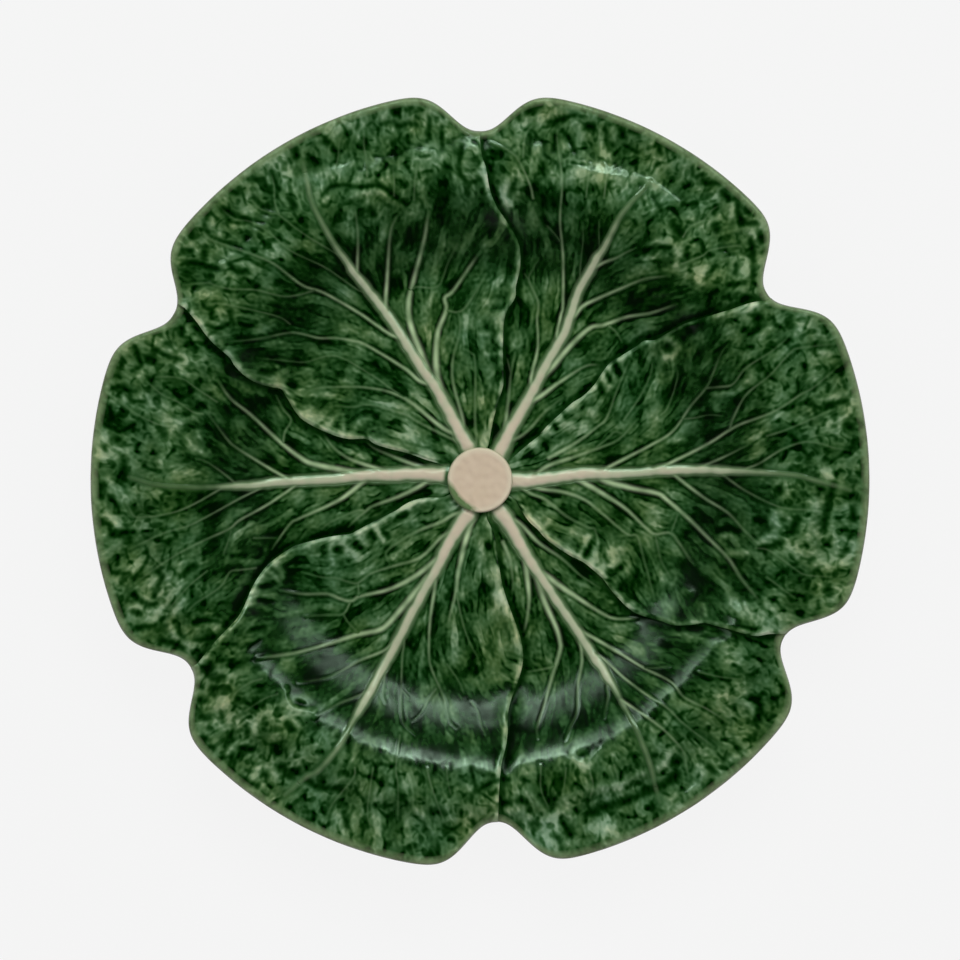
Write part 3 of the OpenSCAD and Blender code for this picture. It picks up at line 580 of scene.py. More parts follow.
def polar(curve):
    """A curve as angle in degrees and share of the way from the stalk to the rim."""
    angle = np.degrees(np.arctan2(curve[:, 1], curve[:, 0])) % 360
    share = (np.hypot(curve[:, 0], curve[:, 1]) - STALK_R) / (rim_r(angle) - STALK_R)
    return angle, share


def angle_table(curve, start):
    """Angle along a curve by share, unwrapped round a starting angle."""
    angle, share = polar(curve)
    order = np.argsort(share)
    angle = (angle[order] - start + 180) % 360 - 180 + start
    return share[order], angle


# Traced lines as curves on the plate, and how far from them the raster knows its nearest one

RIB_STEP = 0.4
LEAF_LINE_REACH = 14
VEIN_REACH = 8
STROKE_REACH = 9

seam_curves = [smooth_curve(plan(line)[::-1], RIB_STEP) for line in SEAMS_PX]
rib_curves = []
rib_halves = []
for line in RIBS_PX:
    widths = np.array(line, float)[:, 2:] * MM_PER_PX
    both = smooth_curve(np.hstack([plan(line), widths]), RIB_STEP)
    rib_curves.append(both[:, :2])
    rib_halves.append(both[:, 2])
seam_tables = [angle_table(c, NOTCH_ANGLES[k]) for k, c in enumerate(seam_curves)]
rib_tables = [angle_table(c, math.degrees(math.atan2(*c[-1][::-1])) % 360) for c in rib_curves]

seams = Nearest(LEAF_LINE_REACH, 1)
for curve in seam_curves:
    seams.add(curve, lengths(curve))
ribs = Nearest(LEAF_LINE_REACH, 1)
for curve, half in zip(rib_curves, rib_halves):
    ribs.add(curve, half)

# A vein that starts this close to a midrib is led on to it, at this slant
ROOT_REACH = 5.5
ROOT_SLANT = 1.3

# A vein narrows outwards to this share of its half width, but not below this many pixels
VEIN_END_SHARE = 0.45
VEIN_END_HALF_PX = 0.8


def rooted(points):
    """A vein's points, led on to the midrib when it starts close to one."""
    all_ribs = np.vstack(rib_curves)
    away = np.hypot(*(all_ribs - points[0]).T)
    nearest = int(away.argmin())
    if away[nearest] > ROOT_REACH or away[nearest] < 2 * CELL:
        return points
    k = int(np.searchsorted(np.cumsum([len(c) for c in rib_curves]), nearest, side="right"))
    first = nearest - sum(len(c) for c in rib_curves[:k])
    back = max(first - int(ROOT_SLANT * away[nearest] / RIB_STEP), 0)
    return np.vstack([rib_curves[k][back], points])


veins = Nearest(VEIN_REACH, 2)
vein_curves = []
for half_px, *line in VEINS_PX:
    curve = smooth_curve(rooted(plan(line)), CELL)
    along = lengths(curve) / lengths(curve)[-1]
    end_px = min(half_px, max(VEIN_END_HALF_PX, VEIN_END_SHARE * half_px))
    veins.add(curve, mix(half_px, end_px, along) * MM_PER_PX, along)
    vein_curves.append(curve)


def strokes(table):
    """Nearest one of a table's strokes, and half its width there."""
    nearest = Nearest(STROKE_REACH, 1)
    for half_px, *line in table:
        curve = smooth_curve(plan(line), CELL)
        nearest.add(curve, np.full(len(curve), half_px * MM_PER_PX))
    return nearest


ridges = strokes(RIDGES_PX)
creases = strokes(CREASES_PX)

# Half widths of the traced lines. A midrib's border is slightly ragged, a ridge adds height only up to a
# width, and a vein grows from thin to stout.
RAGGED_SHARE = 0.06
rib_w = ribs.carried[0]
ragged_rib_w = rib_w * (1 + RAGGED_SHARE * band_noise(7, 0.8, SEED + 51))
vein_w = veins.carried[0]
ridge_w = ridges.carried[0]
crease_w = creases.carried[0]
RIDGE_W_MOST = 1.4
STOUT_W = (0.3, 0.95)
stout = rise(vein_w, *STOUT_W)

# Relief of the traced lines in millimetres, which both layers of leaves share: a least height, and a share
# of the line's half width on top of it. The glaze rounds it off and makes it wider.
LINE_BLUR = 0.35
FOLD_BLUR = 0.5
RIB_GLAZE = 0.3
VEIN_GLAZE = 0.28
rib_rise = 0.3 + 0.3 * rib_w
vein_rise = 0.02 + 0.22 * vein_w
ridge_rise = 0.1 + 0.26 * np.minimum(ridge_w, RIDGE_W_MOST)
crease_dip = 0.08 + 0.14 * crease_w
rib_relief = blur(rib_rise * smooth(1.15 - ribs.distance / (rib_w + RIB_GLAZE)), LINE_BLUR)
vein_relief = blur(vein_rise * bell(veins.distance, vein_w + VEIN_GLAZE), LINE_BLUR)
ridge_relief = blur(ridge_rise * bell(ridges.distance, 1.15 * ridge_w), FOLD_BLUR)
crease_relief = blur(crease_dip * bell(creases.distance, 1.1 * crease_w), FOLD_BLUR)

# Where glaze pools beside the lines, 1 in the middle of each pool
rib_pool = bell(ribs.distance - rib_w - 1.3, 0.8) * smooth(rib_w / 1.4)
vein_pool = bell(veins.distance - 0.7 * vein_w - 0.75, 0.5) * veins.within()
ridge_pool = bell(ridges.distance - 2.2 * ridge_w - 0.6, 0.7) * ridges.within()

# The way the veins run, outwards all over the plate
FLOW_BLUR = 6
FLOW_OUTWARDS = 2e-4
flow_x = np.zeros((COUNT, COUNT))
flow_y = np.zeros((COUNT, COUNT))
for curve in rib_curves + vein_curves:
    tangent = np.gradient(curve, axis=0)
    tangent /= np.hypot(*tangent.T)[:, None]
    outward = np.sign((tangent * curve).sum(axis=1))[:, None]
    i = np.round((curve + REACH) / CELL).astype(int)
    np.add.at(flow_x, (i[:, 1], i[:, 0]), (tangent * outward)[:, 0])
    np.add.at(flow_y, (i[:, 1], i[:, 0]), (tangent * outward)[:, 1])
flow_x = blur(flow_x, FLOW_BLUR) + FLOW_OUTWARDS * GRID_X / np.maximum(GRID_R, 1)
flow_y = blur(flow_y, FLOW_BLUR) + FLOW_OUTWARDS * GRID_Y / np.maximum(GRID_R, 1)
flow = np.maximum(np.hypot(flow_x, flow_y), 1e-9)
flow_x /= flow
flow_y /= flow


def smear(field, reach, steps):
    """A field drawn out along the veins' way, by that reach each way."""
    total = field.copy()
    for way in (1, -1):
        x = GRID_X.copy()
        y = GRID_Y.copy()
        for _ in range(steps):
            i = np.clip(np.round((x + REACH) / CELL), 0, COUNT - 1).astype(int)
            j = np.clip(np.round((y + REACH) / CELL), 0, COUNT - 1).astype(int)
            x += way * flow_x[j, i] * reach / steps
            y += way * flow_y[j, i] * reach / steps
            total += sample(field, x, y)
    return total / total.std()


# Zones of the plate by radius: the rim, the wall, the floor near the stalk, the middle of the wall, and the
# ring of it that mirrors the lamps
RIM_FROM_R = (104, 124)
WALL_FROM_R = (78, 86)
NEAR_STALK_R = (66, 26)
MID_WALL_R = 100
MIRROR_R = 109
at_rim = rise(GRID_R, *RIM_FROM_R)
on_wall = rise(GRID_R, *WALL_FROM_R) * (1 - at_rim)
near_stalk = rise(GRID_R, *NEAR_STALK_R)

# The rough texture is strong at the rim and the combed one inside it. Both are weak beside the traced lines
# and calm where the lamps are mirrored.
calm = 1 - 0.65 * bell(GRID_R - MIRROR_R, 10)
free = np.where(ribs.distance < rib_w, 0, 1 - bell(ribs.distance - rib_w, 1.5))
free = free * (1 - 0.6 * bell(veins.distance, 0.9))
untraced = 1 - 0.7 * bell(np.minimum(ridges.distance, creases.distance), 2.0)
rough = mix(0.25, 1, at_rim) * untraced * free
inner = mix(1, 0.2, at_rim) * untraced * free

# Relief of the lines, and the tone that goes with it: what stands over the blurred relief is pale, and what
# lies under it is dark, partly as glaze thin on tops and pooled in hollows and partly as painted light and
# shade of the relief. Each pair is a weight and that blur.
DETAIL_TONES = ((0.14, 0.9), (0.28, 3.2))
POOL_CUT = 0.08
line_relief = ridge_relief - crease_relief + vein_relief + rib_relief - POOL_CUT * (rib_pool + vein_pool)
detail = ridge_relief - crease_relief + 0.35 * vein_relief
line_tone = sum(weight * (detail - blur(detail, sigma)) for weight, sigma in DETAIL_TONES)
# Ridges are painted pale. Creases are painted dark, partly as pooled glaze and partly as painted shade.
line_tone += 0.17 * bell(ridges.distance, 1.7 * ridge_w) - 0.29 * bell(creases.distance, 1.2 * crease_w)
line_tone += 0.1 * bell(creases.distance - 2.6, 1.4) * creases.within()
line_tone -= 0.16 * rib_pool + mix(0.12, 0.26, stout) * vein_pool + 0.05 * ridge_pool

# Tone of the zones, and the gain that gives dark and pale tones their contrast
# The wall is painted darker, partly as glaze pooled on it and partly as painted shade.
zone_tone = 0.02 + 0.06 * near_stalk - 0.11 * on_wall - 0.05 * bell(GRID_R - MID_WALL_R, 8)
zone_lift = 0.02 * (1 - at_rim - on_wall)
dark_gain = 1.3 - 0.3 * at_rim - 0.12 * on_wall + 0.14 * near_stalk
pale_gain = 1 + 0.12 * near_stalk

# Noises of the glaze: wavelength in millimetres, spread in octaves, and how far and in how many steps they
# are drawn out along the veins
NOISES = {
    "crinkle": (12, 0.45, 2.0, 5),
    "fine": (7, 0.4, 1.2, 3),
    "pits": (5.4, 0.45, 1.4, 4),
    "fields": (13, 0.9, 3.0, 6),
    "cloud": (26, 0.8, 5.0, 8),
    "grain": (2.4, 0.6, 0.6, 2),
    "combed": (7, 0.6, 9.0, 14),
}

# Dark marks of three kinds, and pits: how wide the marks are on their wave, how deep all of them cut in
# millimetres, and how much they darken the tone
MARK_WIDTH = 0.42
LINED_WIDTH = 0.4
DEEP_CUT = 0.07
THIN_CUT = 0.04
PIT_CUT = 0.05
LINED_CUT = 0.012
DEEP_TONE = 0.32
THIN_TONE = 0.24
PIT_TONE = 0.26
LINED_TONE = 0.19


def marks(wave, width, gate):
    """Dark marks where a wave crosses zero, pooled glaze and painted shade, with a painted highlight bank on
    one side.
    """
    highlight_bank = 0.4 * bell(wave - 2.4 * width, 1.1 * width)
    return (bell(wave, width) + 0.35 * bell(wave, 2.2 * width) - highlight_bank) * gate


def patches(wavelength, level, seed):
    """A cover of patches: 1 where a noise is above a level, with soft borders."""
    return smooth((band_noise(wavelength, 0.5, seed) - level) / 0.9 + 0.5)


def make_layer(seed):
    """Relief and tone of the glaze for the lower or the upper leaves, and where painted shade dims its
    shine.
    """
    noise = {}
    for place, (name, (wavelength, octaves, reach, steps)) in enumerate(NOISES.items()):
        noise[name] = smear(band_noise(wavelength, octaves, seed + place), reach, steps)
    fields = np.tanh(noise["fields"])
    swell = band_noise(16, 0.5, seed + len(NOISES))
    pits = rise(-noise["pits"], 0.75, 1.65)
    deep = marks(noise["crinkle"], MARK_WIDTH, patches(8, 0.25, seed + 8))
    thin = marks(noise["fine"], MARK_WIDTH, patches(6.5, 0.5, seed + 9))
    lined = marks(noise["combed"], LINED_WIDTH, patches(13, 0.1, seed + 10))

    cuts = (DEEP_CUT * deep + THIN_CUT * thin + PIT_CUT * pits) * rough + LINED_CUT * lined * inner
    waves = (swell * mix(0.035, 0.11, at_rim) + 0.02 * fields) * free
    relief = line_relief + (waves - cuts) * calm

    tone = line_tone + zone_tone
    tone -= (DEEP_TONE * deep + THIN_TONE * thin + PIT_TONE * pits - 0.1) * rough
    tone += (0.07 * np.tanh(noise["combed"]) - (LINED_TONE + 0.1 * near_stalk) * lined) * inner
    tone += (mix(0.13, 0.1, at_rim) * fields + 0.045 * noise["grain"] + 0.075 * noise["cloud"]) * free
    tone = tone * np.where(tone < 0, dark_gain, pale_gain) + zone_lift
    # Where the shine is taken out, as painted shade of the reflections in the marks and creases
    hidden = np.clip((deep + thin + pits) * rough + bell(creases.distance, 1.3 * crease_w), 0, 1)
    return {"z": blur(relief, 0.4), "tone": blur(tone, 0.2), "hidden": blur(hidden, 0.3)}


layers = [make_layer(seed) for seed in (SEED, SEED + 20)]
stalk_waves = band_noise(5, 0.6, SEED + 40)

# Veins fade on their way, unevenly, and end softly
vein_way = veins.carried[1]
vein_fade = (1 - 0.4 * rise(vein_way, 0.2, 0.8)) * rise(vein_way, 1.02, 0.88)
vein_fade = vein_fade * (0.85 + 0.15 * band_noise(9, 0.7, SEED + 50))


# Leaves

# Where a leaf lies on another: rise of its edge and fall of its lip, and fall of the leaf below
LAP_RISE = 1.0
LAP_FALL = 1.0
LAP_REACH = 6.0
LIP_FALL = 0.7
LIP_REACH = 0.7

# Laps begin beside the stalk and grow flat towards the rim
LAP_FROM_R = (STALK_R, STALK_R + 12)
LAP_FLAT_R = (126, 148)
LAP_FLAT_SHARE = 0.35

# Shares of its own relief and tone that a leaf keeps where it goes under another
KEPT_RELIEF = 0.4
KEPT_TONE = 0.3

# Share of the shine that is taken out in pits and under laps, as painted shade of the reflections there
LOST_SHINE = 0.85

# The wall sags in a narrow ring, and the glaze is duller in another
WALL_SAG = 0.2
WALL_SAG_R = 99.5
WALL_SAG_WIDTH = 5
DULL_R = 91
DULL_WIDTH = 9

# Pale tones over a limit grow only at this slope
PALE_TONE = 0.32
PALE_SLOPE = 0.45

# Glaze covers the first stretch of the left midrib beside the stalk
LEFT_RIB_GAP = 2.0

# Grid of a leaf, with rows that lie slightly closer towards the rim, and its edge's rounding
ROWS = 357
ROW_POWER = 0.92
RIM_ROWS = 12
RIM_ROWS_REACH = 1.1
COLUMNS = 360
UNDER_ROWS = 24
EDGE_ROUND = 2.4
SHARP_ANGLE = 55

# A midrib begins inside the stalk and ends at a share of the way to the rim. Its leaf lies deeper under
# it, so that only one shows. It is wider than the traced line by a border, which dips under the leaf.
RIB_TUCK = 0.6
RIB_END = 0.9
RIB_BED = 0.35
RIB_ROWS = 320
RIB_COLUMNS = 24
RIB_BORDER = 0.75
RIB_BORDER_FROM = 0.8
RIB_BORDER_DIP = 0.25
RIB_TIP_DIP = 0.5
RIB_DEPTH = 1.0


def edge_drop(edge):
    """How far a side is rounded off at a distance from the outline."""
    d = np.clip(EDGE_ROUND - edge, 0, EDGE_ROUND)
    return EDGE_ROUND - np.sqrt(EDGE_ROUND**2 - d**2)


def leaf_rows():
    """Shares of the way to the rim, close together where the edge is rounded."""
    last = 1 - EDGE_ROUND * RIM_ROWS_REACH / (PLATE_R - STALK_R)
    main = last * (np.arange(ROWS) / (ROWS - 1)) ** ROW_POWER
    edge = last + (1 - last) * np.sin(np.arange(1, RIM_ROWS + 1) / RIM_ROWS * math.pi / 2)
    return np.append(main, edge)


def leaf_plan(k, shares):
    """Plan positions of a leaf's grid: rows by share, and columns from one seam to the next."""
    a = np.interp(shares, *seam_tables[k])
    b = np.interp(shares, *seam_tables[(k + 1) % LEAVES])
    b = a + (b - a) % 360
    m = np.interp(shares, *rib_tables[k])
    m = a + (m - a) % 360
    across = np.arange(COLUMNS + 1) / COLUMNS
    left = mix(a[:, None], m[:, None], across[None, :] * 2)
    right = mix(m[:, None], b[:, None], across[None, :] * 2 - 1)
    angle = np.where(across[None, :] < 0.5, left, right)
    r = STALK_R + shares[:, None] * (rim_r(angle) - STALK_R)
    x = r * np.cos(np.radians(angle))
    y = r * np.sin(np.radians(angle))
    return x, y, r, rim_r(angle) - r


def lap(k, x, y, r):
    """Beside the seams: a leaf's lift and tone, its share of its own texture, and how hidden it lies."""
    seam = sample(seams.distance, x, y)
    strength = rise(r, *LAP_FROM_R) * mix(1, LAP_FLAT_SHARE, rise(r, *LAP_FLAT_R))
    if k % 2 == 0:
        lift = -LAP_FALL * bell(seam, LAP_REACH * 0.6)
        # The leaf below is painted darker beside the seam, partly as pooled glaze and partly as painted
        # shadow of the leaf above, and loses its shine there as painted shade of its reflections.
        tone = -0.26 * bell(seam - 1.5, 1.2) - 0.12 * bell(seam, 3.6)
        own = smooth(seam / 2.2)
        hidden = bell(seam, 3.2)
    else:
        along = sample(seams.carried[0], x, y)
        wander = 0.65 + 0.35 * np.sin(along / 1.7 + 2.5 * np.sin(along / 5.3 + k))
        lift = LAP_RISE * bell(seam, LAP_REACH) - LIP_FALL * bell(seam, LIP_REACH)
        lift += 0.12 * wander * bell(seam - 1.2, 1.2)
        tone = (0.2 + 0.18 * wander) * bell(seam - 0.8, 1.1) - 0.08 * bell(seam - 4.2, 1.2)
        own = np.ones_like(seam)
        hidden = np.zeros_like(seam)
    return lift * strength, tone * strength, own, hidden * strength


def vein_cover(x, y, r):
    """How far the pale tops of the side veins cover the glaze."""
    half = sample(vein_w, x, y)
    width = half * 0.62 + 0.1 + 0.2 * rise(half, 0.7, 1.2) + 0.18 * rise(r, *NEAR_STALK_R)
    strength = mix(0.08, 0.8, rise(half, *STOUT_W)) * sample(vein_fade, x, y)
    return bell(sample(veins.distance, x, y), width) * strength


def rib_cover(k, x, y, r):
    """How far a midrib's green border, its cream and its beige cover the glaze, and where the rib lies."""
    away = sample(ribs.distance, x, y)
    half = sample(ragged_rib_w, x, y)
    soft = 0.3 + 0.5 * smooth(half / 2)
    gap = smooth((r - STALK_R) / LEFT_RIB_GAP - 0.3) if k == LEAF_NAMES.index("left") else 1
    cover = {
        "border": smooth((half + 0.35 - away) / (3.6 * soft) + 0.5) * smooth(half) * gap,
        "cream": smooth((half * 0.8 - away) / (1.4 * soft) + 0.5) * rise(half, 0.35, 1.5) * gap,
        "beige": smooth((half * 0.62 - away) / 1.3 + 0.5) * rise(half, 1.3, 2.7) * gap,
    }
    return cover, smooth((half * 1.05 + 0.6 - away) / 0.5)


def leaf_top(k, x, y, edge):
    """Height and glaze of a leaf's upper side at points of the plan, and where its midrib lies."""
    layer = layers[k % 2]
    r = np.hypot(x, y)
    lift, lap_tone, own, lap_hidden = lap(k, x, y, r)
    z = top_z(r) - WALL_SAG * bell(r - WALL_SAG_R, WALL_SAG_WIDTH) - edge_drop(edge)
    z += sample(layer["z"], x, y) * mix(KEPT_RELIEF, 1, own) + lift
    tone = sample(layer["tone"], x, y) * mix(KEPT_TONE, 1, own) + lap_tone
    hidden = sample(layer["hidden"], x, y) * mix(KEPT_TONE, 1, own) + lap_hidden
    glaze, on_rib = rib_cover(k, x, y, r)
    glaze["tone"] = np.minimum(tone, mix(PALE_TONE, tone, PALE_SLOPE))
    glaze["pale"] = vein_cover(x, y, r) * own
    glaze["edge"] = edge
    glaze["dull"] = bell(r - DULL_R, DULL_WIDTH)
    glaze["shine"] = 1 - LOST_SHINE * np.clip(hidden, 0, 1)
    return z, glaze, on_rib


def as_points(x, y, z):
    """Three fields of coordinates as one list of points."""
    return np.stack([x.ravel(), y.ravel(), z.ravel()], axis=1)


def build_mesh(name, verts, faces, attributes, material):
    """An object in the scene, from points in millimetres, shaded smooth except at sharp corners."""
    mesh = bpy.data.meshes.new(name)
    mesh.from_pydata((verts * MM).tolist(), [], faces)
    for key, values in attributes.items():
        mesh.attributes.new(key, "FLOAT", "POINT").data.foreach_set("value", values.astype(np.float32))
    mesh.polygons.foreach_set("use_smooth", np.ones(len(mesh.polygons), bool))
    mesh.set_sharp_from_angle(angle=math.radians(SHARP_ANGLE))
    mesh.materials.append(material)
    obj = bpy.data.objects.new(name, mesh)
    bpy.context.scene.collection.objects.link(obj)
    return obj


def grid_faces(rows, columns, start=0, flip=False):
    """Four-sided faces of a grid of points that are numbered row by row from a start."""
    i, j = np.meshgrid(np.arange(rows - 1), np.arange(columns - 1), indexing="ij")
    a = (start + i * columns + j).ravel()
    quads = np.stack([a, a + 1, a + columns + 1, a + columns], axis=1)
    return [tuple(face) for face in (quads[:, ::-1] if flip else quads).tolist()]


def stitch(fine, coarse, per):
    """Triangles between a line of points and a coarser one."""
    out = []
    for c in range(len(coarse) - 1):
        for i in range(per):
            out.append((fine[c * per + i], fine[c * per + i + 1], coarse[c]))
        out.append((fine[(c + 1) * per], coarse[c + 1], coarse[c]))
    return out


def end_walls(columns, last_row, base, under_last_row):
    """Walls between the top and the underside along a grid's first row and its last one."""
    first = [(j + 1, j, base + j, base + j + 1) for j in range(columns - 1)]
    top = last_row * columns
    under = base + under_last_row * columns
    return first + [(top + j, top + j + 1, under + j + 1, under + j) for j in range(columns - 1)]


def make_leaf(k, material):
    """A leaf from its stalk to its rounded edge, closed below by a coarser underside."""
    shares = leaf_rows()
    x, y, r, edge = leaf_plan(k, shares)
    z, glaze, on_rib = leaf_top(k, x, y, edge)
    z = z - RIB_BED * on_rib * (shares[:, None] < RIB_END)
    top = as_points(x, y, z)
    rows, columns = x.shape
    per = (rows - 1) // (UNDER_ROWS - 1)
    coarse = np.arange(UNDER_ROWS) * per
    under = as_points(x[coarse], y[coarse], under_z(r[coarse]) + edge_drop(edge[coarse]))

    base = len(top)
    faces = grid_faces(rows, columns) + grid_faces(UNDER_ROWS, columns, base, True)
    for side in (0, columns - 1):
        fine_line = [i * columns + side for i in range(rows)]
        coarse_line = [base + i * columns + side for i in range(UNDER_ROWS)]
        wall = stitch(fine_line, coarse_line, per)
        faces += [face[::-1] for face in wall] if side == 0 else wall
    faces += end_walls(columns, rows - 1, base, UNDER_ROWS - 1)

    attributes = {key: np.append(value.ravel(), value[coarse].ravel()) for key, value in glaze.items()}
    attributes["under"] = np.append(np.zeros(len(top)), np.ones(len(under)))
    name = "leaf_" + LEAF_NAMES[k]
    leaf = build_mesh("glazed_" + name, np.vstack([top, under]), faces, attributes, material)
    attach(leaf, "root")
    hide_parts(name)


def make_rib(k, material):
    """A midrib laid over its leaf: its borders dip just under the leaf's surface."""
    curve = rib_curves[k]
    ways = lengths(curve)
    stop = np.interp(RIB_END, polar(curve)[1], ways)
    way = np.linspace(0, stop, RIB_ROWS)
    spine = np.stack([np.interp(way, ways, curve[:, i]) for i in (0, 1)], axis=1)
    root = spine[0] / np.hypot(*spine[0]) * (STALK_R - RIB_TUCK)
    spine = np.vstack([root, spine])
    tangent = np.gradient(spine, axis=0)
    tangent /= np.hypot(*tangent.T)[:, None]
    half = np.interp(np.append(0, way), ways, rib_halves[k]) + RIB_BORDER
    side = np.linspace(-1, 1, RIB_COLUMNS + 1)
    x = spine[:, :1] - tangent[:, 1:] * half[:, None] * side
    y = spine[:, 1:] + tangent[:, :1] * half[:, None] * side
    z, glaze, _ = leaf_top(k, x, y, rim_r(np.degrees(np.arctan2(y, x)) % 360) - np.hypot(x, y))
    z = z - RIB_BORDER_DIP * rise(np.abs(side), RIB_BORDER_FROM, 1)
    z[-1] -= RIB_TIP_DIP
    top = as_points(x, y, z)
    under = top - (0, 0, RIB_DEPTH)

    rows, columns = x.shape
    base = len(top)
    faces = grid_faces(rows, columns) + grid_faces(rows, columns, base, True)
    for i in range(rows - 1):
        a = i * columns
        b = a + columns - 1
        faces.append((a, a + columns, base + a + columns, base + a))
        faces.append((b + columns, b, base + b, base + b + columns))
    faces += end_walls(columns, rows - 1, base, rows - 1)

    attributes = {key: np.append(value.ravel(), value.ravel()) for key, value in glaze.items()}
    attributes["under"] = np.zeros(2 * base)
    name = "midrib_" + LEAF_NAMES[k]
    rib = build_mesh("glazed_" + name, np.vstack([top, under]), faces, attributes, material)
    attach(rib, "root")
    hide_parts(name)


# The cut stalk. Its face sags in the middle, and lies a little under the solid's, to leave room for waves.

STALK_TURNS = 180
STALK_RINGS = 30
STALK_BENDS = 8
STALK_SAG = 0.45
STALK_SAG_SHARE = 0.62
STALK_CALM = 3
STALK_DROP = 0.08
STALK_WAVE = 0.07


def make_stalk(material):
    """A short round block with a rounded border and a slightly uneven, hollow cut face."""
    top = FOOT_H + SHELL_T + STALK_RISE
    turn = np.arange(STALK_TURNS) / STALK_TURNS * 2 * math.pi
    flat = np.linspace(0, 1, STALK_RINGS)[1:] * (STALK_R - STALK_ROUND)
    bend = np.linspace(0, math.pi / 2, STALK_BENDS + 1)[1:]
    face_z = top - STALK_SAG * bell(flat, STALK_R * STALK_SAG_SHARE)
    bend_z = top - STALK_ROUND * (1 - np.cos(bend))
    profile_r = np.concatenate([flat, STALK_R - STALK_ROUND * (1 - np.sin(bend)), [STALK_R]])
    profile_z = np.concatenate([face_z, bend_z, [FOOT_H]])
    x = profile_r[:, None] * np.cos(turn)
    y = profile_r[:, None] * np.sin(turn)
    wave = sample(stalk_waves, x, y) * rise(profile_r, STALK_R, STALK_R - STALK_CALM)[:, None]
    z = profile_z[:, None] - STALK_DROP + STALK_WAVE * wave
    verts = np.vstack([as_points(x, y, z), [(0, 0, top - STALK_SAG - STALK_DROP), (0, 0, FOOT_H)]])
    rings = len(profile_r)
    hub = rings * STALK_TURNS
    faces = []
    for j in range(STALK_TURNS):
        n = (j + 1) % STALK_TURNS
        faces.append((hub, j, n))
        for i in range(rings - 1):
            a = i * STALK_TURNS
            faces.append((a + j, a + STALK_TURNS + j, a + STALK_TURNS + n, a + n))
        a = (rings - 1) * STALK_TURNS
        faces.append((hub + 1, a + n, a + j))
    radius = np.append(np.repeat(profile_r, STALK_TURNS), [0, 0])
    stalk = build_mesh("glazed_stalk_end", verts, faces, {"radius": radius}, material)
    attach(stalk, "root")
    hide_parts("stalk_end")


# Materials

def srgb(r, g, b):
    """A colour given as 0 to 255 values, for a shader."""
    out = []
    for c in (r, g, b):
        c = c / 255
        out.append(c / 12.92 if c <= 0.04045 else ((c + 0.055) / 1.055) ** 2.4)
    return (*out, 1)


def fill_ramp(node, stops):
    """The stops of a colour ramp."""
    while len(node.color_ramp.elements) < len(stops):
        node.color_ramp.elements.new(1)
    for element, (place, colour) in zip(node.color_ramp.elements, stops):
        element.position = place
        element.color = colour


class Nodes:
    """A short way to write a material's nodes."""

    def __init__(self, name):
        self.material = bpy.data.materials.new(name)
        self.material.use_nodes = True
        self.tree = self.material.node_tree
        self.shader = self.tree.nodes["Principled BSDF"]

    def add(self, kind, inputs=(), **settings):
        node = self.tree.nodes.new(kind)
        for key, value in settings.items():
            setattr(node, key, value)
        for key, value in dict(inputs).items():
            self.put(value, node.inputs[key])
        return node

    def put(self, value, socket):
        if isinstance(value, bpy.types.NodeSocket):
            self.tree.links.new(value, socket)
        else:
            socket.default_value = value

    def shade(self, **values):
        """The main shader's inputs, with words joined by lines in place of spaces."""
        for name, value in values.items():
            self.put(value, self.shader.inputs[name.replace("_", " ")])

    def attribute(self, name):
        return self.add("ShaderNodeAttribute", attribute_name=name).outputs["Fac"]

    def math(self, operation, a, b=0.0, clamp=False):
        return self.add("ShaderNodeMath", {0: a, 1: b}, operation=operation, use_clamp=clamp).outputs[0]

    def fade(self, value, start, stop):
        """0 up to a start, rising to 1 at a stop. A start above the stop falls instead."""
        inputs = {"Value": value, "From Min": min(start, stop), "From Max": max(start, stop)}
        inputs["To Min"] = float(start > stop)
        inputs["To Max"] = float(start < stop)
        return self.add("ShaderNodeMapRange", inputs).outputs["Result"]

    def ramp(self, value, stops):
        node = self.add("ShaderNodeValToRGB", {"Fac": value})
        fill_ramp(node, stops)
        return node.outputs["Color"]

    def mix(self, factor, a, b, blend="MIX"):
        node = self.add("ShaderNodeMix", data_type="RGBA", blend_type=blend)
        for place, value in ((0, factor), (6, a), (7, b)):
            self.put(value, node.inputs[place])
        return node.outputs[2]

    def noise(self, scale, detail=2.0, roughness=0.5):
        coords = self.add("ShaderNodeTexCoord").outputs["Object"]
        inputs = {"Vector": coords, "Scale": scale, "Detail": detail, "Roughness": roughness}
        return self.add("ShaderNodeTexNoise", inputs).outputs["Fac"]


# The green glaze from where it pools to where it runs thin over a ridge, which also serves for painted shade
# and light
GLAZE_STOPS = [
    (0.0, srgb(0, 15, 0)),
    (0.12, srgb(2, 29, 1)),
    (0.25, srgb(9, 42, 7)),
    (0.38, srgb(24, 58, 21)),
    (0.5, srgb(43, 76, 38)),
    (0.62, srgb(63, 95, 56)),
    (0.76, srgb(92, 120, 84)),
    (0.88, srgb(132, 154, 120)),
    (1.0, srgb(184, 194, 162)),
]
MEAN_TONE = 0.5
CLOUD_TONE = 0.22

# Slow drifts of the glaze's hue, to blue and to yellow
TINTS = [(0.32, (0.9, 1, 1.12, 1)), (0.5, (1, 1, 1, 1)), (0.68, (1.14, 1.01, 0.86, 1))]

# What covers the glaze, by the name of its attribute
COVERS = {
    "pale": srgb(182, 202, 160),
    "border": srgb(106, 130, 92),
    "cream": srgb(172, 179, 150),
    "beige": srgb(202, 187, 166),
}

# Along the outline the glaze runs thin over the clay. The darker line at the very edge is partly the clay
# and partly painted shade of the edge's rounded side.
OLIVE = srgb(122, 140, 102)
OLIVE_WIDTH = 3.7
OLIVE_FULL = 1.3
OLIVE_SHARE = 0.85
CLAY_AND_SHADE_LINE = srgb(96, 104, 78)
CLAY_AND_SHADE_LINE_SHARE = 0.7

PLAIN_SPECULAR = 0.5
GLAZE_ROUGHNESS = 0.13
DULL_ROUGHNESS = 0.1

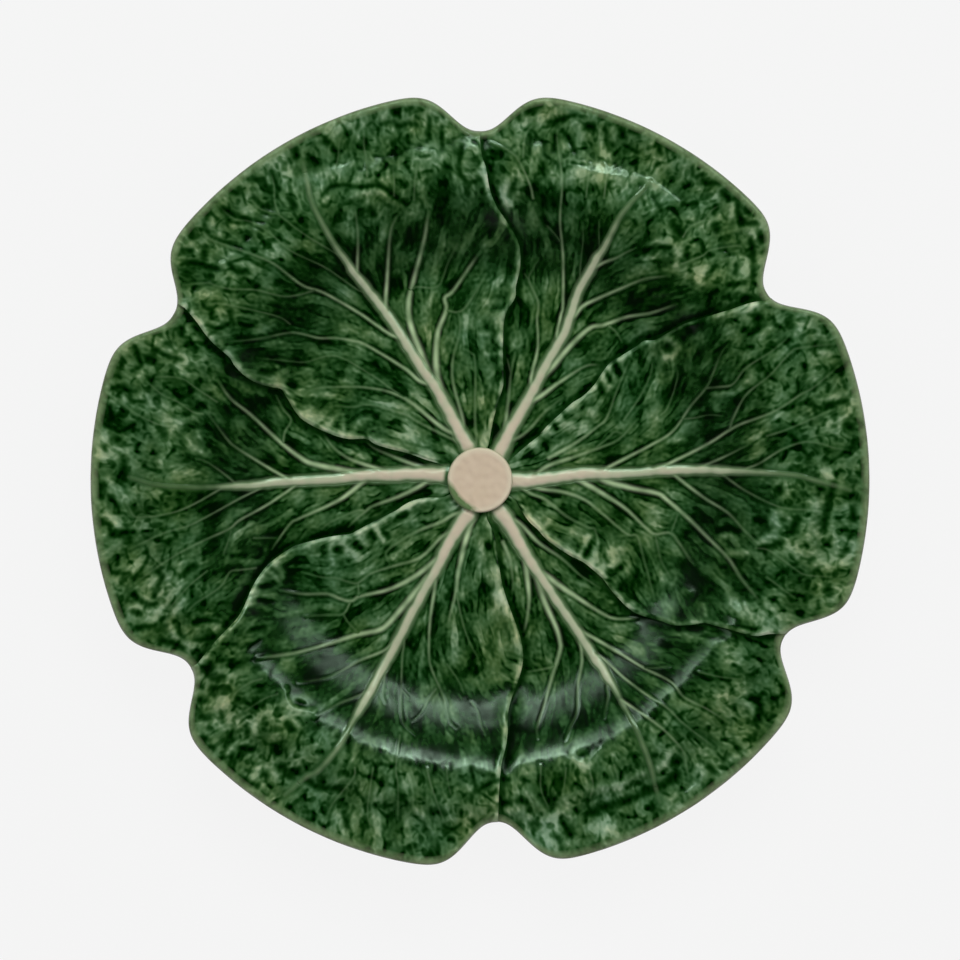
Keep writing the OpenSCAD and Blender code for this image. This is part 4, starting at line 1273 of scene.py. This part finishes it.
# The cut stalk, its border, its green side and a green stain on its lower left
STALK_STOPS = [(0.3, srgb(203, 181, 159)), (0.7, srgb(211, 189, 169))]
STALK_BORDER = srgb(216, 202, 180)
STALK_SIDE = srgb(120, 134, 98)
STALK_STAIN = srgb(96, 120, 78)
STALK_ROUGHNESS = 0.2

CLAY_STOPS = [(0.3, srgb(216, 204, 182)), (0.72, srgb(196, 182, 156))]
CLAY_ROUGHNESS = 0.85
CLAY_GRAIN = 0.2


def leaf_glaze():
    """Green glaze by the leaves' tone, painted light and shade included, under the pale veins and ribs. The
    underside is plain.
    """
    n = Nodes("leaf_glaze")
    edge = n.attribute("edge")
    under = n.attribute("under")
    top = n.fade(under, 1, 0)
    cloud = n.math("MULTIPLY", n.math("SUBTRACT", n.noise(160, 3, 0.6), 0.5), CLOUD_TONE)
    tone = n.math("ADD", n.math("ADD", n.attribute("tone"), cloud), MEAN_TONE)
    plain = n.math("ADD", n.math("MULTIPLY", n.noise(30, 4, 0.6), 0.5), 0.2)
    tone = n.math("ADD", n.math("MULTIPLY", tone, top), n.math("MULTIPLY", plain, under))
    colour = n.mix(1.0, n.ramp(tone, GLAZE_STOPS), n.ramp(n.noise(48, 3, 0.6), TINTS), "MULTIPLY")
    for name, shade in COVERS.items():
        colour = n.mix(n.math("MULTIPLY", n.attribute(name), top), colour, shade)
    spots = n.fade(n.noise(170, 3, 0.6), 0.1, 0.62)
    border = n.math("MULTIPLY", spots, n.fade(edge, OLIVE_WIDTH, OLIVE_FULL))
    colour = n.mix(n.math("MULTIPLY", border, OLIVE_SHARE), colour, OLIVE)
    colour = n.mix(n.math("MULTIPLY", n.fade(edge, 0.8, 0.5), CLAY_AND_SHADE_LINE_SHARE), colour, CLAY_AND_SHADE_LINE)
    dull = n.math("MULTIPLY", n.attribute("dull"), DULL_ROUGHNESS)
    shine = n.math("MULTIPLY", n.attribute("shine"), PLAIN_SPECULAR)
    n.shade(Base_Color=colour, Roughness=n.math("ADD", dull, GLAZE_ROUGHNESS), Specular_IOR_Level=shine)
    return n.material


def stalk_glaze():
    """Beige glaze of the cut stalk, by the distance from its middle in millimetres."""
    n = Nodes("stalk_glaze")
    radius = n.attribute("radius")
    colour = n.ramp(n.noise(70, 4, 0.6), STALK_STOPS)
    colour = n.mix(n.math("MULTIPLY", n.fade(radius, 10.2, 11.6), 0.7), colour, STALK_BORDER)
    place = n.add("ShaderNodeSeparateXYZ", {0: n.add("ShaderNodeTexCoord").outputs["Object"]})
    corner = n.math("ADD", place.outputs["X"], place.outputs["Y"])
    stain = n.math("MULTIPLY", n.fade(corner, -0.0115, -0.0145), n.fade(radius, 9.2, 10.8))
    stain = n.math("MULTIPLY", stain, n.fade(n.noise(160, 3, 0.6), 0.2, 0.5))
    colour = n.mix(stain, colour, STALK_STAIN)
    colour = n.mix(n.math("MULTIPLY", n.fade(radius, 12.3, STALK_R), 0.5), colour, STALK_SIDE)
    n.shade(Base_Color=colour, Roughness=STALK_ROUGHNESS)
    return n.material


def bare_clay():
    """Pale clay with a fine grain, where the foot ring isn't glazed."""
    n = Nodes("bare_clay")
    bumps = {"Strength": 0.15, "Distance": CLAY_GRAIN * MM, "Height": n.noise(1500, 2, 0.6)}
    grain = n.add("ShaderNodeBump", bumps)
    colour = n.ramp(n.noise(90, 5, 0.65), CLAY_STOPS)
    n.shade(Base_Color=colour, Roughness=CLAY_ROUGHNESS, Normal=grain.outputs["Normal"])
    return n.material


glaze = leaf_glaze()
for k in range(LEAVES):
    make_leaf(k, glaze)
    make_rib(k, glaze)
make_stalk(stalk_glaze())
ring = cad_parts["foot_ring"]
ring.data.materials.clear()
ring.data.materials.append(bare_clay())

# Floor: mostly a plain white to the camera, so that only a faint shadow shows

FLOOR_SIZE = 3
FLOOR_WHITE = srgb(245, 245, 245)
FLOOR_ROUGHNESS = 0.9
SHADOW_SHARE = 0.04


def make_floor():
    """A square floor in metres, and its material."""
    mesh = bpy.data.meshes.new("floor")
    corners = [(x * FLOOR_SIZE, y * FLOOR_SIZE, 0) for x, y in ((-1, -1), (1, -1), (1, 1), (-1, 1))]
    mesh.from_pydata(corners, [], [(0, 1, 2, 3)])
    floor = bpy.data.objects.new("floor", mesh)
    bpy.context.scene.collection.objects.link(floor)
    n = Nodes("floor")
    n.shade(Base_Color=FLOOR_WHITE, Roughness=FLOOR_ROUGHNESS, Specular_IOR_Level=0.0)
    rays = n.add("ShaderNodeLightPath").outputs
    seen = n.math("ADD", rays["Is Camera Ray"], rays["Is Glossy Ray"])
    seen = n.math("ADD", seen, rays["Is Transmission Ray"], True)
    plain = n.add("ShaderNodeEmission", {"Color": FLOOR_WHITE, "Strength": 1.0}).outputs[0]
    blend = n.add("ShaderNodeMixShader", {0: n.math("MULTIPLY", seen, 1 - SHADOW_SHARE)})
    n.put(n.shader.outputs[0], blend.inputs[1])
    n.put(plain, blend.inputs[2])
    n.put(blend.outputs[0], n.tree.nodes["Material Output"].inputs["Surface"])
    mesh.materials.append(n.material)
    return floor


def make_camera():
    """A camera straight above, where the photograph was taken."""
    data = bpy.data.cameras.new("camera")
    data.lens = LENS_MM
    data.sensor_width = SENSOR_MM
    camera = bpy.data.objects.new("camera", data)
    camera.location = (0, 0, CAMERA_Z * MM)
    bpy.context.scene.collection.objects.link(camera)
    bpy.context.scene.camera = camera


make_floor()
make_camera()

# Lamps in metres and degrees. The glaze mirrors only the bars. The fills light it evenly and aren't
# mirrored. Each row is a name, an azimuth, for the fills an elevation, and a share of the light.

BAR_DISTANCE = 1.6
BAR_WIDTH = 0.78
BAR_HEIGHT = 0.22
BAR_ELEVATION = 44.2
BAR_EDGE_HEIGHT = 0.06
BAR_EDGE_ELEVATION = 47
BAR_EDGE_SHARE = 0.42
BAR_TINT = (0.7, 1, 0.77)
BARS = (("middle", 90, 0.075), ("left", 58, 0.05), ("right", 122, 0.042))
FILL_DISTANCE = 1.8
FILL_WIDTH = 1.2
FILL_HEIGHT = 1.0
FILL_TINT = (1, 0.96, 0.99)
FILLS = (("back", 80, 55, 0.33), ("left", 175, 45, 0.15), ("right", 5, 45, 0.16), ("front", 270, 45, 0.13))


def softbox(name, azimuth, elevation, distance, size, share, mirrored):
    """A lamp that gives that share of the light at which a level surface shows its own colour."""
    a = math.radians(azimuth)
    e = math.radians(elevation)
    light = bpy.data.lights.new(name, "AREA")
    light.shape = "RECTANGLE"
    light.size, light.size_y = size
    light.energy = share * (math.pi * distance) ** 2 / math.sin(e)
    light.color = BAR_TINT if mirrored else FILL_TINT
    lamp = bpy.data.objects.new(name, light)
    lamp.location = np.array([math.cos(a) * math.cos(e), math.sin(a) * math.cos(e), math.sin(e)]) * distance
    lamp.rotation_euler = (math.pi / 2 - e, 0, a + math.pi / 2)
    lamp.visible_glossy = mirrored
    bpy.context.scene.collection.objects.link(lamp)


bar_size = (BAR_WIDTH, BAR_HEIGHT)
bar_edge_size = (BAR_WIDTH, BAR_EDGE_HEIGHT)
for name, azimuth, share in BARS:
    edge_share = BAR_EDGE_SHARE * share
    softbox("bar_" + name, azimuth, BAR_ELEVATION, BAR_DISTANCE, bar_size, share, True)
    softbox("bar_edge_" + name, azimuth, BAR_EDGE_ELEVATION, BAR_DISTANCE, bar_edge_size, edge_share, True)
for name, azimuth, elevation, share in FILLS:
    softbox("fill_" + name, azimuth, elevation, FILL_DISTANCE, (FILL_WIDTH, FILL_HEIGHT), share, False)

# The world is bright at the horizon and dark overhead, so that pooled glaze stays deep

WORLD_STRENGTH = 0.5
WORLD_GREYS = ((0.0, 1), (0.15, 1), (0.45, 0.02), (1.0, 0.01))


def make_world():
    """A grey that falls off with the height of the view."""
    world = bpy.data.worlds.new("studio")
    world.use_nodes = True
    tree = world.node_tree
    background = tree.nodes["Background"]
    height = tree.nodes.new("ShaderNodeSeparateXYZ")
    tree.links.new(tree.nodes.new("ShaderNodeTexCoord").outputs["Generated"], height.inputs[0])
    ramp = tree.nodes.new("ShaderNodeValToRGB")
    fill_ramp(ramp, [(place, (grey, grey, grey, 1)) for place, grey in WORLD_GREYS])
    tree.links.new(height.outputs["Z"], ramp.inputs["Fac"])
    tree.links.new(ramp.outputs["Color"], background.inputs["Color"])
    background.inputs["Strength"].default_value = WORLD_STRENGTH
    bpy.context.scene.world = world


make_world()
bpy.context.scene.view_settings.view_transform = "Standard"
